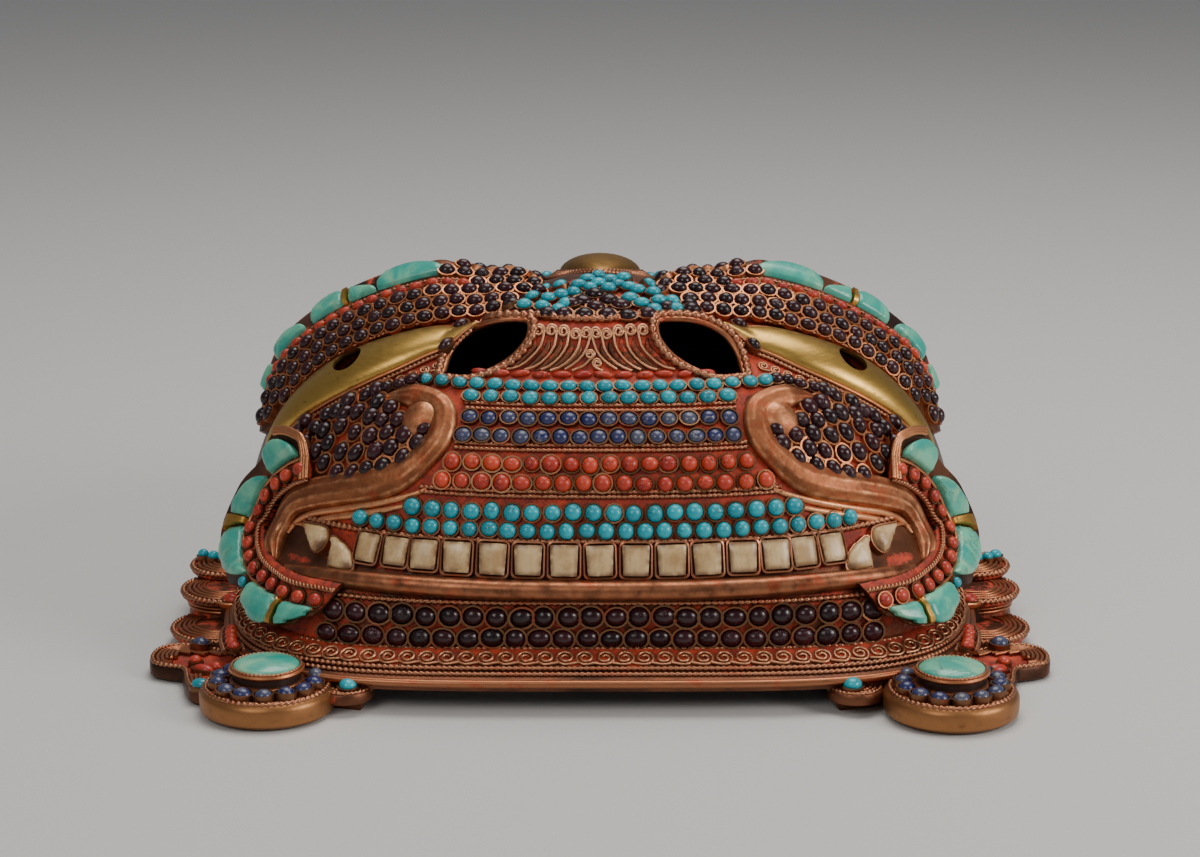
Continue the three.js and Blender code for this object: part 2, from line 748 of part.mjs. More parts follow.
// Two rows of round stones on one strip. The rows are staggered where their counts differ by an odd number.
function stoneRows({ low, high, pitch, radius }) {
  const spread = Math.max(low.count, high.count);
  const steps = Array.from({ length: 2 * spread + 1 }, (_, i) => (i - spread) / 2);
  const widths = widthsAlongFront((low.z + high.z) / 2, steps, pitch);
  const crest = (row, step) => {
    const fromFirst = step + (row.count - 1) / 2;
    const onStone = Math.abs(fromFirst - Math.round(fromFirst)) < 0.25;
    const inRow = fromFirst > -0.5 && fromFirst < row.count - 0.5;
    return onStone && inRow ? STONE_LIFT : STONE_SEAT;
  };
  const rings = steps.map((step, i) => {
    const lowInRow = Math.abs(step) <= low.count / 2;
    const highInRow = Math.abs(step) <= high.count / 2;
    const bottom = lowInRow ? low.z - radius : high.z - radius;
    const top = highInRow ? high.z + radius : low.z + radius;
    const lowCrest = lowInRow ? low.z : bottom + radius * 0.5;
    const highCrest = highInRow ? high.z : top - radius * 0.5;
    const at = (z, lift) => onFront(widths[i], z, lift);
    return [
      at(bottom, STONE_ROOT),
      at(lowCrest, crest(low, step)),
      at(highCrest, crest(high, step)),
      at(top, STONE_ROOT),
    ];
  });
  return loft(rings);
}

const ROWS = {
  upper_lip_turquoise: { low: { z: 49.3, count: 27 }, high: { z: 54.2, count: 20 }, material: TURQUOISE },
  upper_lip_coral: { low: { z: 61.9, count: 17 }, high: { z: 66.9, count: 16 }, material: CORAL },
  upper_lip_lapis: { low: { z: 73.7, count: 15 }, high: { z: 78.1, count: 14 }, radius: 2.6, material: LAPIS },
  nose_base_turquoise: {
    low: { z: 82.7, count: 14 },
    high: { z: 86, count: 17 },
    radius: 1.8,
    material: TURQUOISE,
  },
  chin_garnet: {
    low: { z: 19.8, count: 24 },
    high: { z: 25.2, count: 24 },
    pitch: 6.9,
    radius: 2.9,
    material: GARNET,
  },
};

// A cabochon on a tall collar, on each round plate at the lower corners.
const CABOCHON = { radius: 9.4, collar: 13, top: 15.8 };

function cabochon({ x, y, top: plate }) {
  const { radius, collar, top } = CABOCHON;
  const profile = [
    [0, plate + FIT_GAP],
    [radius, plate + FIT_GAP],
    [radius, collar],
    [radius * 0.65, top - 0.6],
    [0, top],
  ].map(([r, z]) => new THREE.Vector2(r, z));
  const upright = new THREE.Matrix4().makeRotationX(Math.PI / 2);
  return solidOfGeometry(new THREE.LatheGeometry(profile, 16), upright.setPosition(x, y, 0));
}

const mask = new THREE.Group();
const add = (name, solid, material) => mask.add(meshOf(name, solid, material));

add("face_shell", faceShell(), COPPER);
add("rim_plate", rimPlate(), COPPER);
add("third_eye", thirdEye(), BRASS);

for (const [name, side] of Object.entries(SIDES)) {
  add(`ear_${name}`, ear(side), COPPER);
  add(`brow_${name}`, brow(side), COPPER);
  add(`cheek_band_${name}`, cheekBand(side), COPPER);
  add(`eye_${name}`, eye(side), BRASS);
  add(`earring_stone_${name}`, cabochon(EARRINGS[name]), TURQUOISE);
  CHEEK_FLAMES.forEach((flame, i) => {
    add(`cheek_flame_${name}_${i + 1}`, flameStone(CHEEK_BAND, side, flareLift, flame), TURQUOISE);
  });
  BROW_FLAMES.forEach((flame, i) => {
    add(`brow_flame_${name}_${i + 1}`, flameStone(BROW, side, onBrow, flame), TURQUOISE);
  });
  for (const [which, outline] of Object.entries(FANGS)) {
    add(`fang_${which}_${name}`, toothFrom(outline.map(([x, z]) => [side * x, z])), BONE);
  }
}

[...TOOTH_PLACES.slice(1).toReversed().map((x) => -x), ...TOOTH_PLACES].forEach((x, i) => {
  add(`tooth_${String(i + 1).padStart(2, "0")}`, tooth(x), BONE);
});

for (const [name, { material, ...row }] of Object.entries(ROWS)) {
  add(name, stoneRows({ pitch: BEAD_PITCH, radius: BEAD_PITCH / 2, ...row }), material);
}

export default mask;
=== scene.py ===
# The dressed surfaces of an inlaid copper wall mask that lies on its back, chin towards -Y.
# Sizes and places are in millimetres and become metres as each piece is made.
import math
import random

import bpy
from mathutils import Matrix, Vector
from mathutils.bvhtree import BVHTree


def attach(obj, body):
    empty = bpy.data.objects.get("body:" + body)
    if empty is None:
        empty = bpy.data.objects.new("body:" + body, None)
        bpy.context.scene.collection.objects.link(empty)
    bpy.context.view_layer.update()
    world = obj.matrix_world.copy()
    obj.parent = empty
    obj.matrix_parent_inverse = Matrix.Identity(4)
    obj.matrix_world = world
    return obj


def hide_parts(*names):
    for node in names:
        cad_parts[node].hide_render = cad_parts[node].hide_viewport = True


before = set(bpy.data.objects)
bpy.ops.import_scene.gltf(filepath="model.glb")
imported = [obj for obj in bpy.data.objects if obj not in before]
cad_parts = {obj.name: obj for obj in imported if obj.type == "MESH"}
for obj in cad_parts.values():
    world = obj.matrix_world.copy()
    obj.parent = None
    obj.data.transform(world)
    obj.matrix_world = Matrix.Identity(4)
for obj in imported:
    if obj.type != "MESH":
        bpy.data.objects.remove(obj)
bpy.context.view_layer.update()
bpy.ops.object.select_all(action="DESELECT")

MM = 0.001
CORE = Vector((0, 0, 20))  # the point that the face is raised around
REACH = 300.0
dice = random.Random(8)


def lerp(low, high, share):
    return low + (high - low) * share


def clamp(value, low=0.0, high=1.0):
    return max(low, min(high, value))


def ease(value, start, end):
    share = clamp((value - start) / (end - start))
    return share * share * (3 - 2 * share)


# The form of the face

HALF_WIDTH = 113.0
HALF_LENGTH = 104.0
TOP = 105.0
FOOT = 15.5
PROFILE = 2.7
SQUARE_CHIN = 5.0
WALL = 1.8


def forehead_fall(y):
    past = max(y + 22, 0)
    return 1 - 0.0026 * past * past / (past + 14)


def outline_at(z):
    share = clamp(z / TOP)
    narrowing = (1 - share**PROFILE) ** (1 / PROFILE)
    taper = 1 - 0.08 * (1 - ease(z, 8, 36))
    power = lerp(SQUARE_CHIN, PROFILE, ease(z, 12, 44))
    return HALF_WIDTH * narrowing * taper, HALF_LENGTH * narrowing, power


def nose_swell(x, y):
    front = ease(y - x * x / 340, -71, -63)
    back = 1 - ease(y, -45, 2)
    bridge = ease(y, -58, -40)
    across = 1 - ease(abs(x), lerp(26, 8, bridge), lerp(50, 22, bridge))
    return 8 * front * back * across


FOOT_STEEPNESS = math.acos((FOOT / TOP) ** (PROFILE / 2))


def dome_point(u, v):
    """A point of the face, from a square of -1 to 1 that is laid over it."""
    ring = max(abs(u), abs(v))
    if ring < 1e-9:
        return Vector((0, 0, FOOT + (TOP - FOOT) * forehead_fall(0)))
    z = TOP * math.cos(ring * FOOT_STEEPNESS) ** (2 / PROFILE)
    half_width, half_length, power = outline_at(z)
    scale = (abs(u) ** power + abs(v) ** power) ** (-1 / power)
    x, y = u * scale * half_width, v * scale * half_length
    return Vector((x, y, FOOT + (z - FOOT) * forehead_fall(y) + nose_swell(x, y)))


# Making and finishing pieces


def pick(piece):
    bpy.ops.object.select_all(action="DESELECT")
    piece.select_set(True)
    bpy.context.view_layer.objects.active = piece


def edit(piece, work):
    pick(piece)
    bpy.ops.object.mode_set(mode="EDIT")
    bpy.ops.mesh.select_all(action="SELECT")
    work()
    bpy.ops.object.mode_set(mode="OBJECT")


def settle(piece):
    """Puts a piece's place into its mesh."""
    pick(piece)
    bpy.ops.object.transform_apply(location=True, rotation=True, scale=True)


def apply_modifier(piece, kind, **settings):
    pick(piece)
    modifier = piece.modifiers.new(kind.lower(), kind)
    for key, value in settings.items():
        setattr(modifier, key, value)
    bpy.ops.object.modifier_apply(modifier=modifier.name)


def smooth(piece, angle=None):
    pick(piece)
    if angle is None:
        bpy.ops.object.shade_smooth()
    else:
        bpy.ops.object.shade_smooth_by_angle(angle=math.radians(angle))


def skin_over(name, rings, loop=False, closed=True, capped=True):
    """A grid laid on rings of points. A closed one is a tube, a capped one is filled at its ends."""
    rows = rings + rings[:1] if loop else rings
    rows = [ring + ring[:1] if closed else ring for ring in rows]
    bpy.ops.mesh.primitive_grid_add(x_subdivisions=len(rows[0]) - 1, y_subdivisions=len(rows) - 1, size=1)
    piece = bpy.context.object
    piece.name = name
    flat = [c * MM for row in rows for point in row for c in point]
    piece.data.vertices.foreach_set("co", flat)

    def close():
        bpy.ops.mesh.remove_doubles(threshold=1e-6)
        if capped and closed and not loop:
            bpy.ops.mesh.fill_holes(sides=0)
        bpy.ops.mesh.normals_make_consistent(inside=False)

    edit(piece, close)
    smooth(piece, 40)
    return piece


def joined(name, pieces):
    bpy.ops.object.select_all(action="DESELECT")
    for piece in pieces:
        piece.select_set(True)
    bpy.context.view_layer.objects.active = pieces[0]
    if len(pieces) > 1:
        bpy.ops.object.join()
    piece = bpy.context.object
    piece.name = name
    piece.data.name = name
    return piece


def copy_of(piece, name, place=None):
    twin = piece.copy()
    twin.data = piece.data.copy()
    twin.name = name
    bpy.context.scene.collection.objects.link(twin)
    if place is not None:
        twin.data.transform(place)
        if place.determinant() < 0:
            twin.data.flip_normals()
    return twin


MIRROR = Matrix.Scale(-1, 4, (1, 0, 0))


def dress(piece, finish, *stands_for):
    """Gives a finished piece its material and its body, and hides the CAD nodes that it replaces."""
    piece.data.materials.clear()
    piece.data.materials.append(finish)
    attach(piece, "root")
    if stands_for:
        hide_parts(*stands_for)
    return piece


def pair(piece, name, finish, *nodes):
    """The piece on the right side and its mirror image on the left. Nodes are named without their side."""
    twin = copy_of(piece, f"{name}_left", MIRROR)
    piece.name = f"{name}_right"
    for side, each in (("right", piece), ("left", twin)):
        dress(each, finish, *[node.replace("SIDE", side) for node in nodes])
    return piece, twin


# Lines and the surfaces that they lie on


class Line:
    """A smooth line through guides, measured along its length from 0 to 1."""

    def __init__(self, guides, steps=16):
        points = [Vector(guide) for guide in guides]
        ends = [2 * points[0] - points[1], *points, 2 * points[-1] - points[-2]]
        self.points = []
        for before, here, there, after in zip(ends, ends[1:], ends[2:], ends[3:]):
            first = (here - before).length ** 0.5
            span = (there - here).length ** 0.5
            last = (after - there).length ** 0.5
            leave = (here - before) / first - (there - before) / (first + span) + (there - here) / span
            arrive = (there - here) / span - (after - here) / (span + last) + (after - there) / last
            for i in range(steps):
                t = i / steps
                self.points.append(
                    here * (2 * t**3 - 3 * t**2 + 1)
                    + leave * span * (t**3 - 2 * t**2 + t)
                    + there * (3 * t**2 - 2 * t**3)
                    + arrive * span * (t**3 - t**2)
                )
        self.points.append(points[-1])
        self.walked = [0.0]
        for here, there in zip(self.points, self.points[1:]):
            self.walked.append(self.walked[-1] + (there - here).length)
        self.length = self.walked[-1]

    def at(self, share):
        distance = clamp(share) * self.length
        i = next((k for k, walked in enumerate(self.walked) if walked >= distance), len(self.walked) - 1)
        i = max(i, 1)
        span = self.walked[i] - self.walked[i - 1]
        return self.points[i - 1].lerp(self.points[i], (distance - self.walked[i - 1]) / max(span, 1e-9))

    def heading(self, share):
        return (self.at(share + 0.01) - self.at(share - 0.01)).normalized()


class Carrier:
    """A surface that lines, stones and wires are laid on."""

    def __init__(self, *pieces, points=None, faces=None):
        if points is None:
            points, faces = [], []
            for piece in pieces:
                base = len(points)
                points += [piece.matrix_world @ vertex.co / MM for vertex in piece.data.vertices]
                faces += [[base + k for k in face.vertices] for face in piece.data.polygons]
        self.tree = BVHTree.FromPolygons(points, faces)

    def meet(self, start, way):
        point, normal, _, _ = self.tree.ray_cast(start, way.normalized())
        if point is None:
            point, normal, _, _ = self.tree.find_nearest(start + way.normalized() * 200)
        return point, -normal if normal.dot(way) > 0 else normal

    def at(self, guide):
        """Where the surface lies in the direction of a guide, seen from the core."""
        way = (Vector(guide) - CORE).normalized()
        return self.meet(CORE + way * REACH, -way)

    def front(self, x, z):
        return self.meet(Vector((x, -REACH, z)), Vector((0, 1, 0)))

    def above(self, x, y):
        return self.meet(Vector((x, y, REACH)), Vector((0, 0, -1)))

    def seen(self, px, py):
        """What the camera sees at a point of its 1200 x 857 picture."""
        aside, down = px - PICTURE_WIDTH / 2, py - PICTURE_HEIGHT / 2
        way = LOOK + RIGHT * (aside / FOCAL) - UP * (down / FOCAL)
        return self.meet(EYE_POINT, way)

    def level(self, guide):
        """A steady normal, from three meetings a millimetre apart."""
        here, rough = self.at(guide)
        side = rough.orthogonal().normalized()
        other = rough.cross(side)
        normal = (self.at(here + side)[0] - here).cross(self.at(here + other)[0] - here).normalized()
        return -normal if normal.dot(here - CORE) < 0 else normal

    def lifted(self, guide, lift):
        point, normal = self.at(guide)
        return point + normal * lift


def on_line(carrier, line, share, across, lift=0.0):
    guide = line.at(share)
    aside = carrier.level(guide).cross(line.heading(share)).normalized()
    point, normal = carrier.at(guide + aside * across)
    return point + normal * lift


def band_rings(carrier, line, steps, section, start=0.0, end=1.0):
    rings = []
    for i in range(steps + 1):
        share = lerp(start, end, i / steps)
        guide = line.at(share)
        aside = carrier.level(guide).cross(line.heading(share)).normalized()
        rings.append([carrier.lifted(guide + aside * across, lift) for across, lift in section(share)])
    return rings


def lane(carrier, base, line, across, start=0.0, end=1.0, steps=60):
    """A track of [point, normal] on a carrier, beside a line that follows the base."""
    track = []
    for i in range(steps + 1):
        share = lerp(start, end, i / steps)
        guide = line.at(share)
        aside = base.level(guide).cross(line.heading(share)).normalized()
        offset = across(share) if callable(across) else across
        track.append(carrier.at(guide + aside * offset))
    return track


def walk(track, pitch=None, count=None, closed=False, margin=0.0):
    """Places at equal steps along a track: [point, normal, heading]."""
    points = [point for point, _ in track]
    normals = [normal for _, normal in track]
    if closed:
        points.append(points[0])
        normals.append(normals[0])
    walked = [0.0]
    for here, there in zip(points, points[1:]):
        walked.append(walked[-1] + (there - here).length)
    usable = walked[-1] - 2 * margin
    if count is None:
        count = max(int(round(usable / pitch)) + (0 if closed else 1), 2)
    spaces = count if closed else max(count - 1, 1)
    places, i = [], 1
    for k in range(count):
        distance = margin + usable * k / spaces
        while i < len(walked) - 1 and walked[i] < distance:
            i += 1
        span = max(walked[i] - walked[i - 1], 1e-9)
        share = clamp((distance - walked[i - 1]) / span)
        normal = normals[i - 1].lerp(normals[i], share).normalized()
        heading = (points[i] - points[i - 1]).normalized()
        places.append((points[i - 1].lerp(points[i], share), normal, heading))
    return places


def mirrored(places):
    return [tuple(Vector((-v.x, v.y, v.z)) for v in place) for place in places]


# The camera

PICTURE_WIDTH, PICTURE_HEIGHT = 1200, 857
SENSOR_WIDTH = 36
FOCAL = 3114.0  # in pixels of the picture
PITCH = math.radians(15)
AIM = Vector((0, -88, 77))
DISTANCE = 900
LOOK = Vector((0, math.cos(PITCH), -math.sin(PITCH)))
RIGHT = Vector((1, 0, 0))
UP = RIGHT.cross(LOOK)
EYE_POINT = AIM - LOOK * DISTANCE


def place_camera():
    bpy.ops.object.camera_add(location=EYE_POINT * MM, rotation=(math.pi / 2 - PITCH, 0, 0))
    camera = bpy.context.object
    camera.data.lens = SENSOR_WIDTH * FOCAL / PICTURE_WIDTH
    camera.data.clip_start = 0.05
    bpy.context.scene.camera = camera


# Finishes


def make_group(name, inputs, outputs):
    tree = bpy.data.node_groups.new(name, "ShaderNodeTree")
    for label, value in inputs.items():
        kind = "NodeSocketColor" if isinstance(value, tuple) else "NodeSocketFloat"
        tree.interface.new_socket(label, in_out="INPUT", socket_type=kind).default_value = value
    for label in outputs:
        tree.interface.new_socket(label, in_out="OUTPUT", socket_type="NodeSocketFloat")
    return tree, tree.nodes.new("NodeGroupInput"), tree.nodes.new("NodeGroupOutput")


def put(tree, kind, links=(), **settings):
    """Adds a node. Settings are its options or the values of its inputs, links feed its inputs."""
    made = tree.nodes.new("ShaderNode" + kind)
    for key, value in settings.items():
        if hasattr(made, key):
            setattr(made, key, value)
        else:
            made.inputs[key.replace("_", " ")].default_value = value
    for key, source in dict(links).items():
        tree.links.new(source, made.inputs[key])
    return made


def feed(tree, socket, source):
    """Links a source to a socket, or sets the socket where the source is a plain value."""
    if hasattr(source, "links"):
        tree.links.new(source, socket)
    else:
        socket.default_value = source


def noise(tree, where, scale, detail=3.0, roughness=0.55, distortion=0.0):
    made = put(
        tree, "TexNoise", {"Vector": where}, Detail=detail, Roughness=roughness, Distortion=distortion
    )
    feed(tree, made.inputs["Scale"], scale)
    return made.outputs["Fac"]


def between(tree, value, low, high, kind="SMOOTHSTEP"):
    """1 where a value is over high and 0 where it is under low."""
    made = put(tree, "MapRange", {"Value": value}, interpolation_type=kind)
    feed(tree, made.inputs["From Min"], low)
    feed(tree, made.inputs["From Max"], high)
    return made.outputs["Result"]


def calc(tree, operation, first, second=0.0, third=0.0):
    made = put(tree, "Math", operation=operation)
    for socket, source in zip(made.inputs, (first, second, third)):
        feed(tree, socket, source)
    return made.outputs[0]


def times(tree, first, second):
    return calc(tree, "MULTIPLY", first, second)


def plus(tree, first, second):
    return calc(tree, "ADD", first, second)


def minus(tree, first, second):
    return calc(tree, "SUBTRACT", first, second)


def scaled(tree, value, factor, base):
    return calc(tree, "MULTIPLY_ADD", value, factor, base)


def mix(tree, factor, first, second):
    """One colour where the factor is 0, the other where it is 1."""
    made = put(tree, "Mix", data_type="RGBA")
    feed(tree, made.inputs[0], factor)
    for socket, colour in ((made.inputs[6], first), (made.inputs[7], second)):
        feed(tree, socket, (*colour, 1) if isinstance(colour, tuple) else colour)
    return made.outputs[2]


def spot_in(tree):
    """Where a point lies in the object's own frame."""
    return put(tree, "TexCoord").outputs["Object"]


def marked(tree, name):
    """The value of one of the mesh's own attributes."""
    return put(tree, "Attribute", attribute_name=name).outputs["Fac"]


FLAT = 0.5  # the pointiness of a flat place
FLAT_MARGIN = 0.005


def wear_group():
    """Bright on the high places, darker in the hollows, Spots here and there."""
    inputs = {"Scale": 300.0, "Patches": 0.06, "Edge": 0.04}
    tree, given, result = make_group("wear", inputs, ["Bright", "Hollow_dark", "Spots"])
    where = spot_in(tree)
    cloud = noise(tree, where, given.outputs["Scale"], 4)
    fine = noise(tree, where, times(tree, given.outputs["Scale"], 4.0), 2)
    bumpy = put(tree, "NewGeometry").outputs["Pointiness"]
    shift = times(tree, minus(tree, cloud, 0.5), given.outputs["Patches"])
    height = plus(tree, bumpy, shift)
    high = plus(tree, FLAT + FLAT_MARGIN, given.outputs["Edge"])
    low = minus(tree, FLAT - FLAT_MARGIN, given.outputs["Edge"])
    tree.links.new(between(tree, height, FLAT + FLAT_MARGIN, high), result.inputs["Bright"])
    hollow = minus(tree, 1.0, between(tree, height, low, FLAT - FLAT_MARGIN))
    tree.links.new(hollow, result.inputs["Hollow_dark"])
    tree.links.new(between(tree, fine, 0.62, 0.72), result.inputs["Spots"])
    return tree


def vein_group():
    """Dark branching lines in a stone, different from stone to stone."""
    tree, given, result = make_group("veins", {"Scale": 260.0, "Width": 0.03}, ["Veins", "Cloud"])
    where = spot_in(tree)
    tone = marked(tree, "tone")
    moved = put(tree, "VectorMath", {0: where, 1: times(tree, tone, 3.0)}, operation="ADD")
    shifted = moved.outputs[0]
    cloud = noise(tree, shifted, given.outputs["Scale"], 4, 0.6, 0.8)
    away = calc(tree, "ABSOLUTE", minus(tree, cloud, 0.5))
    line = minus(tree, 1.0, between(tree, away, 0.0, given.outputs["Width"]))
    patchy = between(tree, noise(tree, shifted, times(tree, given.outputs["Scale"], 0.4), 2), 0.5, 0.62)
    tree.links.new(times(tree, line, patchy), result.inputs["Veins"])
    tree.links.new(cloud, result.inputs["Cloud"])
    return tree


WEAR = wear_group()
VEINS = vein_group()


def new_finish(name, **shader):
    material = bpy.data.materials.new(name)
    material.use_nodes = True
    tree = material.node_tree
    surface = tree.nodes["Principled BSDF"]
    for key, value in shader.items():
        surface.inputs[key.replace("_", " ")].default_value = value
    return material, tree, surface


def placed_group(tree, group, **values):
    made = tree.nodes.new("ShaderNodeGroup")
    made.node_tree = group
    for key, value in values.items():
        made.inputs[key].default_value = value
    return made.outputs


def rough_skin(tree, surface, height, depth):
    """Bumps of a depth in metres."""
    bump = put(tree, "Bump", {"Height": height}, Strength=1.0, Distance=depth)
    tree.links.new(bump.outputs["Normal"], surface.inputs["Normal"])


RED = (0.42, 0.05, 0.02)
VERDIGRIS = (0.075, 0.075, 0.045)
# The two colours below darken the copper in its hollows.
HOLLOW_BLACK = (0.022, 0.009, 0.006)
HOLLOW_RED = (0.17, 0.03, 0.015)


def copper(name, dark, middle, bright, scale=300.0, roughness=(0.32, 0.6), pigment=0.0, dents=0.00012,
           patch=55.0, hollow_colour=HOLLOW_BLACK):
    """Beaten copper: brown patina, worn bright on its high places, darker and with pigment in its hollows.
    """
    material, tree, surface = new_finish(name, Metallic=0.85)
    wear = placed_group(tree, WEAR, Scale=scale, Patches=0.05, Edge=0.03)
    where = spot_in(tree)
    cloud = between(tree, noise(tree, where, patch, 5, 0.65), 0.36, 0.66)
    rubbed = between(tree, noise(tree, where, patch * 0.7, 4, 0.7), 0.52, 0.68)
    colour = mix(tree, cloud, dark, middle)
    colour = mix(tree, times(tree, rubbed, 0.4), colour, bright)
    colour = mix(tree, times(tree, wear["Bright"], 0.8), colour, bright)
    # Darker in the hollows, found from the pointiness, towards the hollow colour.
    low = times(tree, wear["Hollow_dark"], 0.9)
    colour = mix(tree, low, colour, hollow_colour)
    if pigment:
        blots = between(tree, noise(tree, where, 170.0, 3), 0.54, 0.62)
        colour = mix(tree, times(tree, blots, pigment), colour, RED)
    green = between(tree, noise(tree, where, 210.0, 3, 0.7), 0.66, 0.74)
    colour = mix(tree, times(tree, green, 0.35), colour, VERDIGRIS)
    tree.links.new(colour, surface.inputs["Base Color"])
    rough = noise(tree, where, 240.0, 4)
    worn = times(tree, calc(tree, "MAXIMUM", rubbed, wear["Bright"]), 0.08)
    smoothest, roughest = roughness
    rough = scaled(tree, rough, roughest - smoothest, smoothest)
    tree.links.new(minus(tree, rough, worn), surface.inputs["Roughness"])
    metal = minus(tree, 0.9, times(tree, calc(tree, "MAXIMUM", low, green), 0.6))
    tree.links.new(metal, surface.inputs["Metallic"])
    beaten = scaled(tree, noise(tree, where, 900.0, 2), 0.35, noise(tree, where, 160.0, 2))
    rough_skin(tree, surface, beaten, dents)
    return material


def pigment_ground():
    """Copper under red pigment. The ground attribute says where the pigment is thick."""
    material, tree, surface = new_finish("red_ground")
    where = spot_in(tree)
    thick = marked(tree, "ground")
    cloud = noise(tree, where, 150.0, 5, 0.75)
    fine = noise(tree, where, 620.0, 3, 0.7)
    edge = plus(tree, thick, times(tree, minus(tree, cloud, 0.5), 1.5))
    painted = between(tree, edge, 0.42, 0.62)
    red = mix(tree, between(tree, cloud, 0.4, 0.66), (0.27, 0.021, 0.008), (0.56, 0.056, 0.016))
    red = mix(tree, times(tree, between(tree, fine, 0.5, 0.66), 0.6), red, (0.07, 0.022, 0.013))
    patches = between(tree, noise(tree, where, 50.0, 4), 0.35, 0.65)
    bare = mix(tree, patches, (0.055, 0.022, 0.013), (0.19, 0.07, 0.035))
    tree.links.new(mix(tree, painted, bare, red), surface.inputs["Base Color"])
    tree.links.new(times(tree, minus(tree, 1.0, painted), 0.8), surface.inputs["Metallic"])
    tree.links.new(scaled(tree, painted, 0.25, 0.42), surface.inputs["Roughness"])
    height = plus(tree, times(tree, painted, 0.5), times(tree, fine, 0.4))
    rough_skin(tree, surface, height, 0.0002)
    return material


def stone(name, first, second, vein, vein_share=0.0, scale=300.0, roughness=0.2, coat=0.3, pits=0.00004):
    """A polished stone. Its tone attribute shifts the colour from stone to stone."""
    material, tree, surface = new_finish(name, Roughness=roughness, Coat_Weight=coat, Coat_Roughness=0.08)
    tone = marked(tree, "tone")
    veins = placed_group(tree, VEINS, Scale=scale, Width=0.03)
    shade = scaled(tree, veins["Cloud"], 0.7, times(tree, tone, 0.6))
    colour = mix(tree, between(tree, shade, 0.3, 1.0, "LINEAR"), first, second)
    if vein_share:
        colour = mix(tree, times(tree, veins["Veins"], vein_share), colour, vein)
    tree.links.new(colour, surface.inputs["Base Color"])
    where = spot_in(tree)
    fine = noise(tree, where, 700.0, 3)
    tree.links.new(scaled(tree, fine, 0.25, roughness), surface.inputs["Roughness"])
    rough_skin(tree, surface, plus(tree, veins["Veins"], times(tree, fine, 0.4)), pits)
    return material


def plaque_finish():
    """Green turquoise with paler streaks and a few dark lines."""
    material, tree, surface = new_finish(
        "green_turquoise", Roughness=0.25, Coat_Weight=0.35, Coat_Roughness=0.08
    )
    where = spot_in(tree)
    veins = placed_group(tree, VEINS, Scale=75.0, Width=0.014)
    streaks = between(tree, noise(tree, where, 85.0, 3, 0.5, 1.2), 0.48, 0.72)
    colour = mix(tree, between(tree, veins["Cloud"], 0.34, 0.68), (0.02, 0.33, 0.27), (0.16, 0.54, 0.36))
    colour = mix(tree, times(tree, streaks, 0.55), colour, (0.36, 0.6, 0.36))
    colour = mix(tree, times(tree, veins["Veins"], 0.6), colour, (0.06, 0.13, 0.07))
    tree.links.new(colour, surface.inputs["Base Color"])
    fine = noise(tree, where, 500.0, 3)
    tree.links.new(scaled(tree, fine, 0.25, 0.2), surface.inputs["Roughness"])
    rough_skin(tree, surface, plus(tree, veins["Veins"], times(tree, fine, 0.3)), 0.00006)
    return material


def bone_finish():
    material, tree, surface = new_finish("bone", Roughness=0.35, Coat_Weight=0.25)
    where = spot_in(tree)
    cloud = noise(tree, where, 130.0, 4, 0.6)
    colour = mix(tree, between(tree, cloud, 0.35, 0.68), (0.68, 0.48, 0.25), (0.43, 0.26, 0.11))
    grain = put(tree, "Mapping", {"Vector": where}, Scale=(1, 1, 0.12))
    lines = noise(tree, grain.outputs["Vector"], 900.0, 2)
    colour = mix(tree, times(tree, between(tree, lines, 0.5, 0.7), 0.3), colour, (0.33, 0.21, 0.09))
    # Darker in patches towards the rim of each tooth and fang.
    edge = marked(tree, "edge")
    rim_darkening = times(tree, edge, between(tree, noise(tree, where, 260.0, 3), 0.3, 0.55))
    colour = mix(tree, times(tree, rim_darkening, 0.9), colour, (0.13, 0.045, 0.018))
    tree.links.new(colour, surface.inputs["Base Color"])
    tree.links.new(scaled(tree, cloud, 0.25, 0.26), surface.inputs["Roughness"])
    rough_skin(tree, surface, lines, 0.00004)
    return material


def brass_finish(name, colour, dark, scale=60.0, stain=0.5, roughness=0.26):
    material, tree, surface = new_finish(name, Metallic=1.0, Roughness=roughness)
    where = spot_in(tree)
    cloud = between(tree, noise(tree, where, scale, 5, 0.7), 0.55, 0.75)
    spots = placed_group(tree, WEAR, Scale=180.0, Patches=0.05, Edge=0.04)["Spots"]
    tint = mix(tree, times(tree, cloud, stain), colour, dark)
    tint = mix(tree, times(tree, spots, 0.35), tint, (0.12, 0.06, 0.02))
    tree.links.new(tint, surface.inputs["Base Color"])
    stretched = put(tree, "Mapping", {"Vector": where}, Scale=(1, 1, 6))
    streaks = noise(tree, stretched.outputs["Vector"], 300.0, 3)
    tree.links.new(scaled(tree, streaks, 0.2, roughness), surface.inputs["Roughness"])
    rough_skin(tree, surface, plus(tree, streaks, noise(tree, where, 90.0, 2)), 0.00005)
    return material


COPPER = copper("beaten_copper", (0.075, 0.026, 0.013), (0.27, 0.092, 0.04), (0.68, 0.28, 0.13))
WIRE = copper(
    "copper_wire", (0.05, 0.019, 0.011), (0.18, 0.066, 0.033), (0.46, 0.2, 0.11), scale=500.0,
    pigment=0.25,
)
BEZEL = copper(
    "bezel_copper", (0.03, 0.013, 0.008), (0.1, 0.044, 0.023), (0.23, 0.11, 0.055), scale=500.0,
    pigment=0.3,
)
SCROLL = copper(
    "scroll_copper", (0.1, 0.037, 0.02), (0.32, 0.13, 0.065), (0.66, 0.33, 0.18), scale=500.0,
    pigment=0.1,
)
GROUND = pigment_ground()
BRASS = brass_finish("eye_brass", (0.56, 0.345, 0.09), (0.22, 0.11, 0.03))
DARK_BRASS = brass_finish("third_eye_brass", (0.3, 0.165, 0.05), (0.09, 0.04, 0.015), 45.0, 0.8, 0.34)
GOLD = brass_finish("gold_band", (0.6, 0.33, 0.08), (0.26, 0.12, 0.035), 200.0, 0.7, 0.3)
